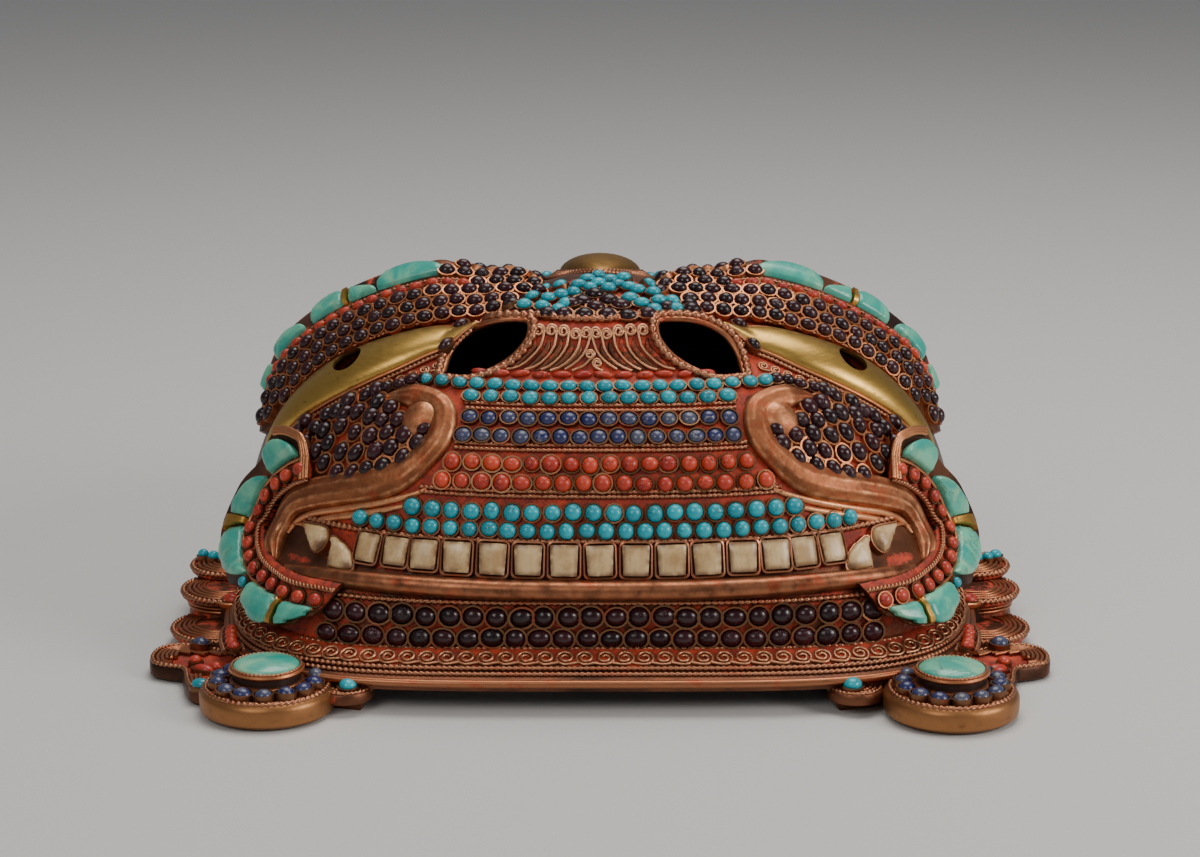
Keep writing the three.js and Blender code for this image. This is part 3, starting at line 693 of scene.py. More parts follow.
GARNET = stone("garnet", (0.009, 0.002, 0.004), (0.04, 0.005, 0.01), (0, 0, 0), roughness=0.11, coat=0.0)
TURQUOISE = stone(
    "sky_turquoise", (0.001, 0.24, 0.32), (0.006, 0.43, 0.52), (0.015, 0.05, 0.045), 0.9, 420.0, 0.2, 0.3
)
PLAQUE = plaque_finish()
CORAL = stone(
    "coral", (0.34, 0.014, 0.006), (0.6, 0.055, 0.017), (0.14, 0.012, 0.008), 0.7, 500.0, 0.3, 0.2,
    pits=0.0002,
)
LAPIS = stone(
    "lapis", (0.005, 0.01, 0.1), (0.075, 0.083, 0.125), (0.3, 0.28, 0.23), 0.65, 380.0, 0.2, 0.3
)

# The lips' copper is lighter partly from real wear and partly as painted light, standing in for the light
# that falls on the lips.
WORN_LIT_COPPER = copper(
    "worn_lit_copper", (0.21, 0.072, 0.032), (0.36, 0.128, 0.056), (0.8, 0.37, 0.18), roughness=(0.36, 0.64),
    pigment=0.3, dents=0.0003, patch=90.0, hollow_colour=HOLLOW_RED,
)
BRONZE = copper(
    "bronze", (0.042, 0.016, 0.007), (0.14, 0.056, 0.021), (0.42, 0.19, 0.075), roughness=(0.38, 0.62)
)
RIM_COPPER = copper(
    "rim_copper", (0.036, 0.014, 0.008), (0.14, 0.05, 0.025), (0.45, 0.175, 0.085), pigment=0.35
)
BONE = bone_finish()


# Wires


def wire(name, tracks, radius, beads=None, closed=False, sides=1, taper=None):
    """Round wires along tracks of points. Beads is the length of one bead."""
    bpy.ops.curve.primitive_bezier_curve_add()
    piece = bpy.context.object
    curve = piece.data
    curve.splines.clear()
    curve.dimensions = "3D"
    curve.bevel_depth = radius * MM
    curve.bevel_resolution = sides
    curve.use_fill_caps = True
    for points in tracks:
        widths = [1.0] * len(points)
        if beads:
            track = [(Vector(point), Vector((0, 0, 1))) for point in points]
            length = sum((b - a).length for a, b in zip(points, points[1:]))
            count = max(int(length / beads), 1) * 3
            points = [place[0] for place in walk(track, count=count, closed=closed)]
            widths = [0.48, 1.0, 1.0] * (count // 3)
        elif taper:
            widths = [taper(i / max(len(points) - 1, 1)) for i in range(len(points))]
        spline = curve.splines.new("POLY")
        spline.points.add(len(points) - 1)
        spline.points.foreach_set("co", [c for point in points for c in (*(point * MM), 1)])
        spline.points.foreach_set("radius", widths)
        spline.use_cyclic_u = closed
    pick(piece)
    bpy.ops.object.convert(target="MESH")
    piece = bpy.context.object
    piece.name = name
    smooth(piece)
    return piece


def swelling(least, power, margin):
    """A wire's taper: full in its middle and thin at both ends."""
    return lambda share: lerp(least, 1, math.sin(math.pi * clamp(share, margin, 1 - margin)) ** power)


def lay(name, tracks, radius, finish, **shape):
    """Copper wires along tracks, as one piece."""
    return dress(wire(name, tracks, radius, **shape), finish)


def lay_pair(name, tracks, radius, finish, **shape):
    """Copper wires on the right half, and their mirror image on the left."""
    pair(wire(name, tracks, radius, **shape), name, finish)


def above(track, lift):
    return [point + normal * lift for point, normal in track]


def rope(track, radius, turn, lift=0.0):
    """Two strands twisted round each other along a track."""
    length = sum((b[0] - a[0]).length for a, b in zip(track, track[1:]))
    places = walk(track, count=max(int(length / turn * 8), 8))
    strands = []
    for phase in (0, math.pi):
        strand = []
        for i, (point, normal, heading) in enumerate(places):
            angle = phase + i * math.pi / 4
            side = heading.cross(normal)
            up = lift + radius * math.sin(angle)
            strand.append(point + normal * up + side * radius * math.cos(angle))
        strands.append(strand)
    return strands


# Stones in bezels


def dome_stone(name, segments=12, rings=4, flat=2.0):
    """Half a ball of radius 1, a little flattened on top."""
    bpy.ops.mesh.primitive_uv_sphere_add(segments=segments, ring_count=2 * rings, radius=1)
    piece = bpy.context.object
    piece.name = name

    def halve():
        bpy.ops.mesh.bisect(plane_co=(0, 0, -0.02), plane_no=(0, 0, 1), clear_inner=True)

    edit(piece, halve)
    for vertex in piece.data.vertices:
        height = vertex.co.z
        vertex.co.z = max(height, 0) ** (2 / flat) if flat != 2.0 else height
    smooth(piece)
    return piece


def collar(name, segments=14, wall=0.2):
    """A thin upright ring round a stone of radius 1."""
    ends = {"end_fill_type": "NOTHING", "location": (0, 0, 0.5)}
    bpy.ops.mesh.primitive_cylinder_add(vertices=segments, radius=1.0, depth=1, **ends)
    piece = bpy.context.object
    piece.name = name
    settle(piece)
    apply_modifier(piece, "SOLIDIFY", thickness=wall, offset=1.0)
    smooth(piece, 50)
    return piece


def frame_of(place, turn=0.0, tip=(0.0, 0.0)):
    point, normal, heading = place
    side = normal.cross(heading).normalized()
    ahead = side.cross(normal).normalized()
    basis = Matrix((ahead, side, normal)).transposed().to_4x4()
    lean = Matrix.Rotation(tip[0], 4, "X") @ Matrix.Rotation(tip[1], 4, "Y")
    return Matrix.Translation(point * MM) @ basis @ lean @ Matrix.Rotation(turn, 4, "Z")


def raised(height):
    return Matrix.Translation((0, 0, height * MM))


def sized(long, wide, high):
    """Brings a shape of radius 1 to its half length, half width and height."""
    return Matrix.Diagonal((long * MM, wide * MM, high * MM, 1))


def tinted(mesh, tone):
    attribute = mesh.attributes.new("tone", "FLOAT", "POINT")
    attribute.data.foreach_set("value", [tone] * len(mesh.vertices))


COLLAR_SINK = 0.5


def inlay(name, shape, places, size, finish, *nodes, rise=1.0, wild=0.08, lean=0.1, collar_height=1.3,
          jitter=0.22, setting=BEZEL):
    """Stones of a half length, a half width and a height at each place, each in a copper collar."""
    stones, collars = [], []
    for place in places:
        long, wide = [half * dice.uniform(1 - wild, 1 + wild) for half in size[:2]]
        turn = dice.uniform(-0.2, 0.2)
        base = frame_of(place, turn, (dice.uniform(-lean, lean), dice.uniform(-lean, lean)))
        aside = [dice.uniform(-jitter, jitter) * MM for _ in "xy"]
        base = base @ Matrix.Translation((*aside, 0))
        high = size[2] * dice.uniform(1 - wild, 1 + wild)
        gem = copy_of(shape, "stone", base @ raised(rise) @ sized(long, wide, high))
        tinted(gem.data, dice.random())
        stones.append(gem)
        if setting:
            grow = sized(long * 1.04, wide * 1.04, collar_height + COLLAR_SINK)
            collars.append(copy_of(COLLAR, "collar", base @ raised(-COLLAR_SINK) @ grow))
    dress(joined(name, stones), finish, *nodes)
    if setting:
        dress(joined(f"{name}_bezels", collars), setting)


def inlay_pair(name, shape, places, *rest, **settings):
    """Stones at places on the right half, then at their mirror image on the left."""
    for side, each in (("right", places), ("left", mirrored(places))):
        inlay(f"{name}_{side}", shape, each, *rest, **settings)


place_camera()
STONE = dome_stone("stone_shape")
BALL = dome_stone("ball_shape", 12, 5, 2.6)
COLLAR = collar("collar_shape")


# The face

SKIN_STEPS = 84
PUPIL_RADIUS, PUPIL_HOLE_RADIUS = 5.0, 8.0  # in the brass, and in the copper behind it
square = [i / SKIN_STEPS for i in range(-SKIN_STEPS, SKIN_STEPS + 1)]
face = skin_over("face_skin", [[dome_point(u, v) for u in square] for v in square], closed=False)
if face.data.polygons[0].normal.dot(face.data.polygons[0].center) < 0:
    face.data.flip_normals()
SKIN = Carrier(face)

NOSE_SHIFT = -2.0
NOSTRIL = [
    (44.2, 87.2), (42, 95.3), (38, 101), (30.5, 104.4), (19.6, 104.2), (19.2, 99.9), (22.6, 94.4),
    (28.6, 89.8), (36, 86.6),
]
PUPIL = Vector((75.6, -50.0, 86.6))


def nostril_ring(side, y, grow=0.0):
    line = Line([(side * x + NOSE_SHIFT, y, z - 0.4 * (y + 66)) for x, z in NOSTRIL + NOSTRIL[:1]], 5)
    points = line.points[:-1]
    middle = sum(points, Vector()) / len(points)
    return [point + (point - middle).normalized() * grow for point in points]


def cut(piece, cutters):
    tool = joined("cutter", cutters)
    apply_modifier(piece, "BOOLEAN", operation="DIFFERENCE", solver="EXACT", object=tool)
    bpy.data.objects.remove(tool)


def pupil_cutter(side, radius):
    guide = Vector((side * PUPIL.x, PUPIL.y, PUPIL.z))
    point, normal = SKIN.at(guide)[0], SKIN.level(guide)
    turn = Vector((0, 0, 1)).rotation_difference(normal).to_euler()
    place = {"location": point * MM, "rotation": turn}
    bpy.ops.mesh.primitive_cylinder_add(vertices=48, radius=radius * MM, depth=0.03, **place)
    settle(bpy.context.object)
    return bpy.context.object


def table(rows, value):
    """The second column of a table of pairs, read between its rows."""
    for (low, first), (high, second) in zip(rows, rows[1:]):
        if value <= high:
            return lerp(first, second, clamp((value - low) / (high - low)))
    return rows[-1][1]


def seen_track(points, lift=0.0, steps=10):
    """A track on the face under a smooth line through points of the picture."""
    line = Line([(x, y, 0) for x, y in points], steps)
    track = [SKIN.seen(p.x, p.y) for p in line.points]
    return [point + SKIN.level(point) * lift for point, _ in track]


def seen_places(spots, heading=(1, 0, 0), drop=0.0, lift=0.0):
    """Places on the face under points of the picture, lowered in it by the drop."""
    places = []
    for x, y in spots:
        point, _ = SKIN.seen(x, y + drop)
        normal = SKIN.level(point)
        places.append((point + normal * lift, normal, Vector(heading)))
    return places


apply_modifier(face, "SOLIDIFY", thickness=WALL * MM, offset=-1)
nostrils = [skin_over("nostril", [nostril_ring(side, -84), nostril_ring(side, -40)]) for side in (-1, 1)]
cut(face, nostrils + [pupil_cutter(side, PUPIL_HOLE_RADIUS) for side in (-1, 1)])
smooth(face, 50)


# How wide the inlaid panel of the face is at each height: [height, half width].
PANEL = [
    (43, 80), (50, 78), (53, 62), (58, 59), (60, 50), (70, 47), (72, 42), (82, 41), (87, 52), (110, 52),
]


def pigment_share(point, outward):
    """How thick the red pigment is on the face: full in the inlaid panels, thin elsewhere, none inside. At
    the mouth's corners the red is painted light, brightening copper that is lit there.
    """
    x, y, z = point
    if outward < 0.1:
        return 0.0
    wide = abs(x)
    edge = table(PANEL, z)
    panel = (1 - ease(wide, edge, edge + 2.5)) * ease(z, 43, 45) * (1 - 0.6 * ease(y, -46, -34))
    mouth = ease(z, 35, 37) * ease(z, 47, 45) * ease(wide, 83, 76) * 0.75
    chin = ease(z, 32, 30) * 0.6
    cheek = ease(wide, 44, 47) * ease(wide, 96, 90) * ease(z, 57, 61) * 0.95
    # Painted light: red laid on the mouth's corners to brighten the lit copper there.
    corner = ease(wide, 83, 85) * ease(wide, 94, 91) * ease(z, 33, 34.5) * ease(z, 38, 36.5) * 0.7
    return clamp(max(panel, mouth, chin, cheek, corner, 0.2)) * lerp(0.3, 1.0, ease(y, -5, -40))


def paint(piece, amount):
    piece.data.attributes.new("ground", "FLOAT", "POINT")
    values = []
    for vertex in piece.data.vertices:
        point = vertex.co / MM
        values.append(amount(point, vertex.normal.dot((point - CORE).normalized())))
    piece.data.attributes["ground"].data.foreach_set("value", values)


paint(face, pigment_share)
dress(face, GROUND, "face_shell")


# The lips

UPPER_LIP = Line([
    (65.5, -67.3, 81.4), (60, -70, 82.5), (52.4, -74, 82.9), (46.8, -78.5, 80.5), (48, -85, 73.5),
    (58, -87.5, 63.6), (67, -85.5, 59.8), (77.7, -80.3, 56.7), (86.4, -74.6, 53.4), (92.2, -70.2, 49.4),
    (95.4, -68.8, 43.8), (96.4, -69.6, 37.5), (94, -74.6, 32.2),
])


def roll(half_width, height, root=-1.2, grooves=0, depth=0.12, steps=14):
    """A rounded section: [across, lift], from one foot of the roll to the other."""
    section = [(-half_width, root)]
    for i in range(steps + 1):
        angle = math.pi * i / steps
        groove = depth * (0.5 - 0.5 * math.cos(angle * 2 * grooves)) if grooves else 0
        section.append((-half_width * math.cos(angle), (height - groove) * math.sin(angle) ** 0.7))
    section.append((half_width, root))
    return section


LIP_HALF_WIDTHS = [(0, 4.1), (0.35, 4.1), (0.5, 5.2), (0.72, 5.0), (0.85, 4.0), (1, 4.2)]


def upper_lip_section(share):
    start, end = min(share / 0.1, 1), min((1 - share) / 0.05, 1)
    half = table(LIP_HALF_WIDTHS, share) * max(min(start**0.8, end**0.5), 0.12)
    depth = lerp(0.1, 0.3, ease(share, 0.45, 0.7))
    return roll(half, 3.3 * max(min(start**0.6, end**0.5), 0.12), grooves=5, depth=depth, steps=36)


def lips():
    pair(skin_over("lip", band_rings(SKIN, UPPER_LIP, 110, upper_lip_section)), "upper_lip", WORN_LIT_COPPER)
    ridge = [(773, 489), (785, 494), (818, 502.5), (853, 508.5), (885, 513.5), (901, 521), (911, 533)]
    ridge = seen_track(ridge, 0.3)
    slim = swelling(0.35, 0.6, 0.02)
    low = seen_track([(790, 505), (830, 513), (868, 518), (896, 524)], 0.2)
    lay_pair("upper_lip_ridges", [ridge, low], 1.2, WORN_LIT_COPPER, taper=slim, sides=4)
    corner = seen_track([(911, 528), (902, 524), (893, 526), (886, 534), (883, 546)], 0.6)
    lay_pair("mouth_corner_wire", [corner], 0.7, COPPER, taper=slim, sides=2)
    rings = []
    for i in range(141):
        share = 2 * i / 140 - 1
        taper = math.cos(share * math.pi / 2.06) ** 0.35
        x, z = share * 92, 32.8 + 1.2 * share**2 - 1.8 * share**4
        ring = []
        for up, lift in roll(3.3 * taper, 5.7 * taper, steps=12):
            point, normal = SKIN.front(x, z + up)
            ring.append(point + normal * lift)
        rings.append(ring)
    dress(skin_over("lower_lip", rings), RIM_COPPER)


def boss():
    """The shell-shaped swelling that each lip curls round."""
    bpy.ops.mesh.primitive_uv_sphere_add(segments=32, ring_count=16, radius=1)
    piece = bpy.context.object
    place = frame_of(seen_places([(778, 419)], (1, -0.5, -0.5))[0])
    piece.data.transform(place @ sized(6.6, 5.6, 3.9))
    smooth(piece)
    pair(piece, "lip_boss", WORN_LIT_COPPER)


# The teeth

TOOTH = {"width": 7.9, "low": 36.8, "high": 45.7, "depth": 3.6}
TOOTH_PLACES = [0, 10.3, 20.6, 30.7, 40.9, 50.4, 58.5, 66.8]


def front_track(z, half_span, shift=0.0, steps=160):
    return [SKIN.front(lerp(-half_span, half_span, i / steps) + shift, z) for i in range(steps + 1)]


def edge_weight(piece, reach):
    """The edge attribute: 1 at the rim of a tooth's face and 0 in its middle."""
    attribute = piece.data.attributes.new("edge", "FLOAT", "POINT")
    low = Vector(map(min, zip(*[v.co for v in piece.data.vertices])))
    high = Vector(map(max, zip(*[v.co for v in piece.data.vertices])))
    values = []
    for vertex in piece.data.vertices:
        share = [abs(2 * (c - a) / max(b - a, 1e-9) - 1) for c, a, b in zip(vertex.co, low, high)]
        values.append(ease(max(share[0], share[1]), reach, 1.0))
    attribute.data.foreach_set("value", values)


def tooth_block(width, height, depth):
    bpy.ops.mesh.primitive_cube_add(size=1, location=(0, 0, 0.3))
    piece = bpy.context.object
    piece.scale = (width, height, depth)
    settle(piece)

    def divide():
        bpy.ops.mesh.subdivide(number_cuts=5)

    edit(piece, divide)
    for vertex in piece.data.vertices:
        across, along = 2 * vertex.co.x / width, 2 * vertex.co.y / height
        vertex.co.x *= 1 + 0.05 * along
        if vertex.co.z > 0:
            vertex.co.z -= depth * (0.16 * across**4 + 0.12 * along**4)
    apply_modifier(
        piece, "BEVEL", width=0.45, segments=2, limit_method="ANGLE", angle_limit=math.radians(50)
    )
    edge_weight(piece, 0.72)
    smooth(piece, 60)
    return piece


def teeth():
    middle_height = (TOOTH["low"] + TOOTH["high"]) / 2
    frames = []
    across = [-x for x in TOOTH_PLACES[:0:-1]] + TOOTH_PLACES
    for i, x in enumerate(across):
        point, normal = SKIN.front(x, middle_height)
        heading = (SKIN.front(x + 2, middle_height)[0] - SKIN.front(x - 2, middle_height)[0]).normalized()
        place = (point, normal, heading)
        outer = ease(abs(x), 35, 66)
        width = TOOTH["width"] * lerp(1, 0.84, outer) * dice.uniform(0.95, 1.04)
        height = (TOOTH["high"] - TOOTH["low"]) * lerp(1, 0.92, outer) * dice.uniform(0.98, 1.02)
        piece = tooth_block(width, height, TOOTH["depth"])
        stand = frame_of(place, dice.uniform(-0.03, 0.03))
        piece.data.transform(stand @ raised(1.3) @ Matrix.Scale(MM, 4))
        dress(piece, BONE, f"tooth_{i + 1:02d}").name = f"tooth_{i + 1:02d}_bone"
        half, rise, corner = width / 2 + 0.4, height / 2 + 0.35, 1.4
        loop = []
        for way, up, quarter in ((1, 1, 0), (-1, 1, 1), (-1, -1, 2), (1, -1, 3)):
            for k in range(5):
                angle = math.pi / 2 * (quarter + k / 4)
                local_x = way * (half - corner) + corner * math.cos(angle)
                local_y = up * (rise - corner) + corner * math.sin(angle)
                loop.append(stand @ Vector((local_x * MM, local_y * MM, 0)) / MM)
        rings = []
        for spread, lift in ((1.0, -0.6), (1.0, 2.3), (1.06, 2.7), (1.15, 2.5), (1.17, -0.6)):
            rings.append([point + (p - point) * spread + normal * lift for p in loop])
        frames.append(skin_over("tooth_frame", rings, capped=False))
    dress(joined("tooth_frames", frames), WIRE)


FANGS = {
    "lower": [
        (78.6, 34.9), (71.8, 35.4), (71.5, 38.2), (72.9, 40.4), (74.9, 41.9), (76.7, 42.8), (77.7, 42.2),
        (77.4, 40.2), (78.2, 37.6),
    ],
    "upper": [
        (85.9, 44.7), (79.3, 44.7), (78.9, 42.0), (80.0, 39.6), (82.1, 37.9), (83.5, 38.0), (84.3, 39.3),
        (85.1, 41.6),
    ],
}


def fangs():
    for which, outline in FANGS.items():
        line = Line([(x, 0, z) for x, z in outline + outline[:1]], 5)
        loop = line.points[:-1]
        middle = sum(loop, Vector()) / len(loop)

        def ring(share, lift):
            points = []
            for point in loop:
                near = middle.lerp(point, share)
                base, normal = SKIN.front(near.x, near.z)
                points.append(base + normal * lift)
            return points

        layers = ((1, 0), (1, 2.0), (0.95, 2.7), (0.84, 3.2), (0.6, 3.6), (0.3, 3.8))
        piece = skin_over("fang", [ring(share, lift) for share, lift in layers])
        edge_weight(piece, 0.75)
        smooth(piece, 60)
        pair(piece, f"fang_{which}_bone", BONE, f"fang_{which}_SIDE")
        edges = ((1.04, -0.4), (1.04, 1.9), (1.14, 1.9), (1.18, -0.4))
        rim = skin_over("fang_frame", [ring(share, lift) for share, lift in edges], capped=False)
        pair(rim, f"fang_{which}_frame", WIRE)


# The rows of stones between the mouth and the nose, and on the chin

ROWS = [
    ("lip_turquoise_low", BALL, TURQUOISE, 49.3, 27, 70.9, 1.4, (2.4, 2.4, 2.5)),
    ("lip_turquoise_high", BALL, TURQUOISE, 54.2, 20, 55.0, 1.0, (2.45, 2.45, 2.5)),
    ("lip_coral_low", BALL, CORAL, 61.9, 17, 46.6, 1.0, (2.4, 2.35, 2.4)),
    ("lip_coral_high", BALL, CORAL, 66.9, 16, 42.4, 0.0, (2.4, 2.35, 2.4)),
    ("lip_lapis_low", STONE, LAPIS, 73.7, 15, 39.2, -0.3, (2.4, 2.25, 1.7)),
    ("lip_lapis_high", STONE, LAPIS, 78.1, 14, 37.6, -0.3, (2.4, 2.25, 1.7)),
    ("nose_turquoise_low", BALL, TURQUOISE, 83.1, 14, 37.2, -0.3, (2.4, 2.0, 2.2)),
    ("nose_turquoise_high", BALL, TURQUOISE, 85.9, 20, 49.8, -1.2, (2.35, 1.85, 2.1)),
    ("chin_garnet_high", STONE, GARNET, 24.9, 24, 78.0, 1.0, (3.1, 2.8, 2.2)),
    ("chin_garnet_low", STONE, GARNET, 18.7, 24, 79.0, 0.0, (3.1, 2.7, 2.2)),
]
ROW_NODES = {
    "lip_turquoise_low": "upper_lip_turquoise",
    "lip_coral_low": "upper_lip_coral",
    "lip_lapis_low": "upper_lip_lapis",
    "nose_turquoise_low": "nose_base_turquoise",
    "chin_garnet_low": "chin_garnet",
}


def stone_rows():
    for name, shape, finish, z, count, span, shift, size in ROWS:
        places = walk(front_track(z, span, shift), count=count)
        nodes = [ROW_NODES[name]] if name in ROW_NODES else []
        wild = 0.1 if finish == CORAL else 0.07
        tall = 1.1 if shape == BALL else 1.5
        inlay(name, shape, places, size, finish, *nodes, wild=wild, collar_height=tall, rise=0.7)
    tubes = walk(front_track(88.7, 33, -2), count=12)
    inlay("nose_coral_tubes", STONE, tubes, (2.9, 1.2, 1.3), CORAL, rise=0.3, setting=None)


def row_wires():
    tracks = []
    for z, span in ((58.5, 52.5), (70.5, 42.5), (80.3, 39.5)):
        for up, lift in ((0.0, 0.55), (1.3, 0.4)):
            tracks.append(above(front_track(z + up, span), lift))
    lay("row_wires", tracks, 0.72, WIRE, beads=1.5)
    lay("teeth_beading", [above(front_track(46.3, 85.5), 0.7)], 1.05, WIRE, beads=1.9)
    edges = [above(front_track(z, span), 0.6) for z, span in ((29.0, 80), (15.2, 92))]
    lay("chin_wires", edges, 0.95, WIRE, beads=1.9)


# The nose


def nose():
    for side, name in ((1, "right"), (-1, "left")):
        rings = []
        for grow, lift in ((0.5, 0.0), (1.7, 0.9)):
            ring = []
            for base in nostril_ring(side, -66, grow):
                point, normal = SKIN.meet(Vector((base.x, -100, base.z + 13.6)), Vector((0, 1, -0.4)))
                ring.append(point + normal * lift)
            rings.append(ring)
        lay(f"nostril_rim_{name}", rings[:1], 1.0, RIM_COPPER, closed=True, sides=4)
        lay(f"nostril_beading_{name}", rings[1:], 1.4, WIRE, beads=2.4, closed=True, sides=2)
    bridge = [(527, 315), (540, 317), (560, 319.5), (598, 321), (630, 318.5), (647, 316), (658, 315)]
    bridge = seen_track(bridge, 0.8)
    lay("nose_bridge_beading", [bridge], 1.35, WIRE, beads=2.3, sides=2)


SEPTUM_MIDDLE = 591
# Right half of the filigree, from its middle: [where a scroll is, the stem that leaves it].
STRANDS = [
    ((52, 331), [(47, 333), (50, 346), (60, 358), (72, 367.5), (84, 370.5)]),
    ((39.5, 331), [(34.5, 333), (36.5, 346), (44, 357.5), (56, 367.5), (66, 371)]),
    ((27.5, 332), [(22.5, 334), (24, 345), (31, 357), (42, 367), (50, 371)]),
    ((15.5, 335), [(11, 338), (13, 348), (20, 359), (32, 368.5), (41, 372)]),
    ((5, 334), [(1.5, 339), (5, 350), (13, 361), (26, 370.5)]),
]
# The two scrolls in the filigree's middle: [centre, start, hand, stem].
MIDDLE_SCROLLS = [
    ((590, 355), 0.0, 1, [(589, 361), (583, 367), (572, 372)]),
    ((597, 364), math.pi, -1, [(596, 369), (603, 372)]),
]


def curl(centre, radius, start, turns, hand, steps=9):
    """A closing spiral in the picture's plane, from its outside inwards."""
    points = []
    count = int(steps * turns)
    for i in range(count + 1):
        angle = start + hand * math.tau * turns * i / count
        reach = radius * (1 - 0.68 * i / count)
        points.append((centre[0] + reach * math.cos(angle), centre[1] - reach * math.sin(angle)))
    return points


def filigree():
    """Strands between the nostrils, each with a small scroll at its top and a leaf beside it."""
    wires, leaves = [], []
    for side in (-1, 1):
        for (x, y), path in STRANDS:
            top = curl((SEPTUM_MIDDLE + side * x, y), 5.8, 0 if side < 0 else math.pi, 1.7, -side)
            stem = [(SEPTUM_MIDDLE + side * px, py) for px, py in path]
            wires.append(seen_track(top[::-1] + stem, 0.6, 2))
            leaf = [(SEPTUM_MIDDLE + side * (px + 6.5), py) for px, py in path[1:]]
            leaves.append(seen_track([(leaf[0][0], leaf[0][1] - 8), *leaf], -0.3, 4))
    for centre, start, hand, tail in MIDDLE_SCROLLS:
        wires.append(seen_track(curl(centre, 4.6, start, 1.5, hand)[::-1] + tail, 0.6, 2))
    lay("septum_scrolls", wires, 0.48, SCROLL)
    leaf_wires = wire("septum_leaves", leaves, 1.2, taper=swelling(0.3, 0.8, 0.03), sides=2)
    paint(leaf_wires, lambda point, outward: 0.42)
    dress(leaf_wires, GROUND)


NOSE_GARNETS = [
    (547, 309), (563, 309), (584, 310), (607, 310), (628, 311), (648, 309), (571, 299), (583, 297),
    (595, 290), (609, 296), (621, 301), (513, 300), (527, 292), (668, 303), (684, 296), (692, 305),
    (596, 303),
]
NOSE_TURQUOISE = [
    (524, 301), (533, 293), (543, 302), (549, 294), (546, 286), (558, 306), (561, 291), (561, 282),
    (566, 300), (574, 289), (579, 282), (587, 276), (590, 284), (598, 280), (599, 273), (609, 276),
    (608, 285), (618, 281), (623, 275), (629, 284), (629, 294), (638, 287), (641, 299), (647, 281),
    (653, 289), (658, 297), (664, 290), (671, 297), (654, 306), (676, 304),
]
STONE_DROP = 7  # how far below a stone's middle its foot is, in the picture


def nose_stones():
    garnets, turquoise = [seen_places(spots, drop=STONE_DROP) for spots in (NOSE_GARNETS, NOSE_TURQUOISE)]
    inlay("nose_garnets", STONE, garnets, (2.8, 2.3, 2.0), GARNET)
    inlay("nose_turquoise", BALL, turquoise, (2.45, 1.9, 2.0), TURQUOISE)


# The eyes

EYE = Line([
    (36, -54.5, 99.5), (45, -54.5, 97), (53, -53.8, 95.5), (62, -53.2, 91.5), (72, -51.2, 86.5),
    (82, -48, 80), (90.5, -45.2, 73), (98.5, -42.6, 65), (103.6, -41.4, 56.5),
])
EYE_HALF_WIDTH, EYE_BULGE = 9, 4


def eye_open(share):
    return math.sin(math.pi * clamp(share, 0.004, 0.996))


def eye_half(share):
    return EYE_HALF_WIDTH * eye_open(share) ** 0.6


def eyes():
    def section(share):
        half = eye_half(share)
        bulge = EYE_BULGE * eye_open(share) ** 0.5
        arc = [(math.cos(math.pi * i / 16), math.sin(math.pi * i / 16)) for i in range(17)]
        top = [(half * across, 1.2 + bulge * up) for across, up in arc]
        under = [(half * 0.92 * across, 0.5 + bulge * 0.93 * up) for across, up in arc[::-1]]
        return [*top, *under]

    piece = skin_over("eye", band_rings(SKIN, EYE, 64, section))
    cut(piece, [pupil_cutter(1, PUPIL_RADIUS)])
    smooth(piece, 40)
    pair(piece, "eye_brass", BRASS, "eye_SIDE")
    shares = [i / 80 for i in range(1, 80)]
    rims = [[on_line(SKIN, EYE, s, way * (eye_half(s) + 0.6), 1.4) for s in shares] for way in (-1, 1)]
    lay_pair("eye_rim", rims, 0.55, COPPER, sides=2)
    lower = [on_line(SKIN, EYE, s, -(eye_half(s) + 1.9), 0.7) for s in shares[1:-1]]
    lay_pair("under_eye_beading", [lower], 0.75, WIRE, beads=1.4)


def scroll(place, radius, turns=1.7, hand=1, tail=1.3):
    """A flat spiral of wire that lies on a surface."""
    point, normal, heading = place
    side = normal.cross(heading).normalized()
    ahead = side.cross(normal).normalized() * hand
    steps = int(13 * turns)
    points = []
    for i in range(steps + 1):
        share = i / steps
        angle = -math.pi * 0.6 + math.tau * turns * share
        reach = radius * (1 - 0.8 * share)
        points.append(point + ahead * reach * math.cos(angle) + side * reach * math.sin(angle))
    points.insert(0, point - ahead * radius * tail - side * radius * 0.75)
    return points


UNDER_EYE = [
    (763, 367), (775, 371), (788, 376), (802, 381), (818, 386), (831, 391), (844, 396), (856, 401),
]
LIP_TIP_GARNETS = [(775, 381), (787, 382), (799, 386), (812, 389)]
EYE_CORNER_GARNETS = [(738, 331), (750, 350)]


def under_eye_scrolls():
    line = Line([(x, y, 0) for x, y in UNDER_EYE])
    track = []
    for spot in line.points:
        point, _ = SKIN.seen(spot.x, spot.y)
        normal = SKIN.level(point)
        track.append((point + normal * 0.5, normal))
    scrolls = [scroll(place, 1.75, hand=-1) for place in walk(track, count=9)]
    lay_pair("under_eye_scrolls", scrolls, 0.33, SCROLL)
    places = seen_places(LIP_TIP_GARNETS, (1, 0.3, -0.4))
    places += seen_places(EYE_CORNER_GARNETS, (-0.5, 0.2, 1), lift=1.4)
    inlay_pair("small_garnets", STONE, places, (2.3, 1.8, 1.8), GARNET)


# The brows

BROW = Line([
    (16, -38, 105), (24, -36, 105), (36, -34.5, 104), (46, -33, 102.5), (57, -31.5, 100), (68, -30, 96.5),
    (79, -27.5, 91), (89, -25, 84.5), (97, -24.5, 76), (102, -26, 68), (104.5, -29, 60), (105.5, -32, 53),
])
BROW_FRONT, BROW_RIDGE, BROW_BACK = -12.0, 11.0, 15.0  # across the line
BROW_HEIGHT = 12.5
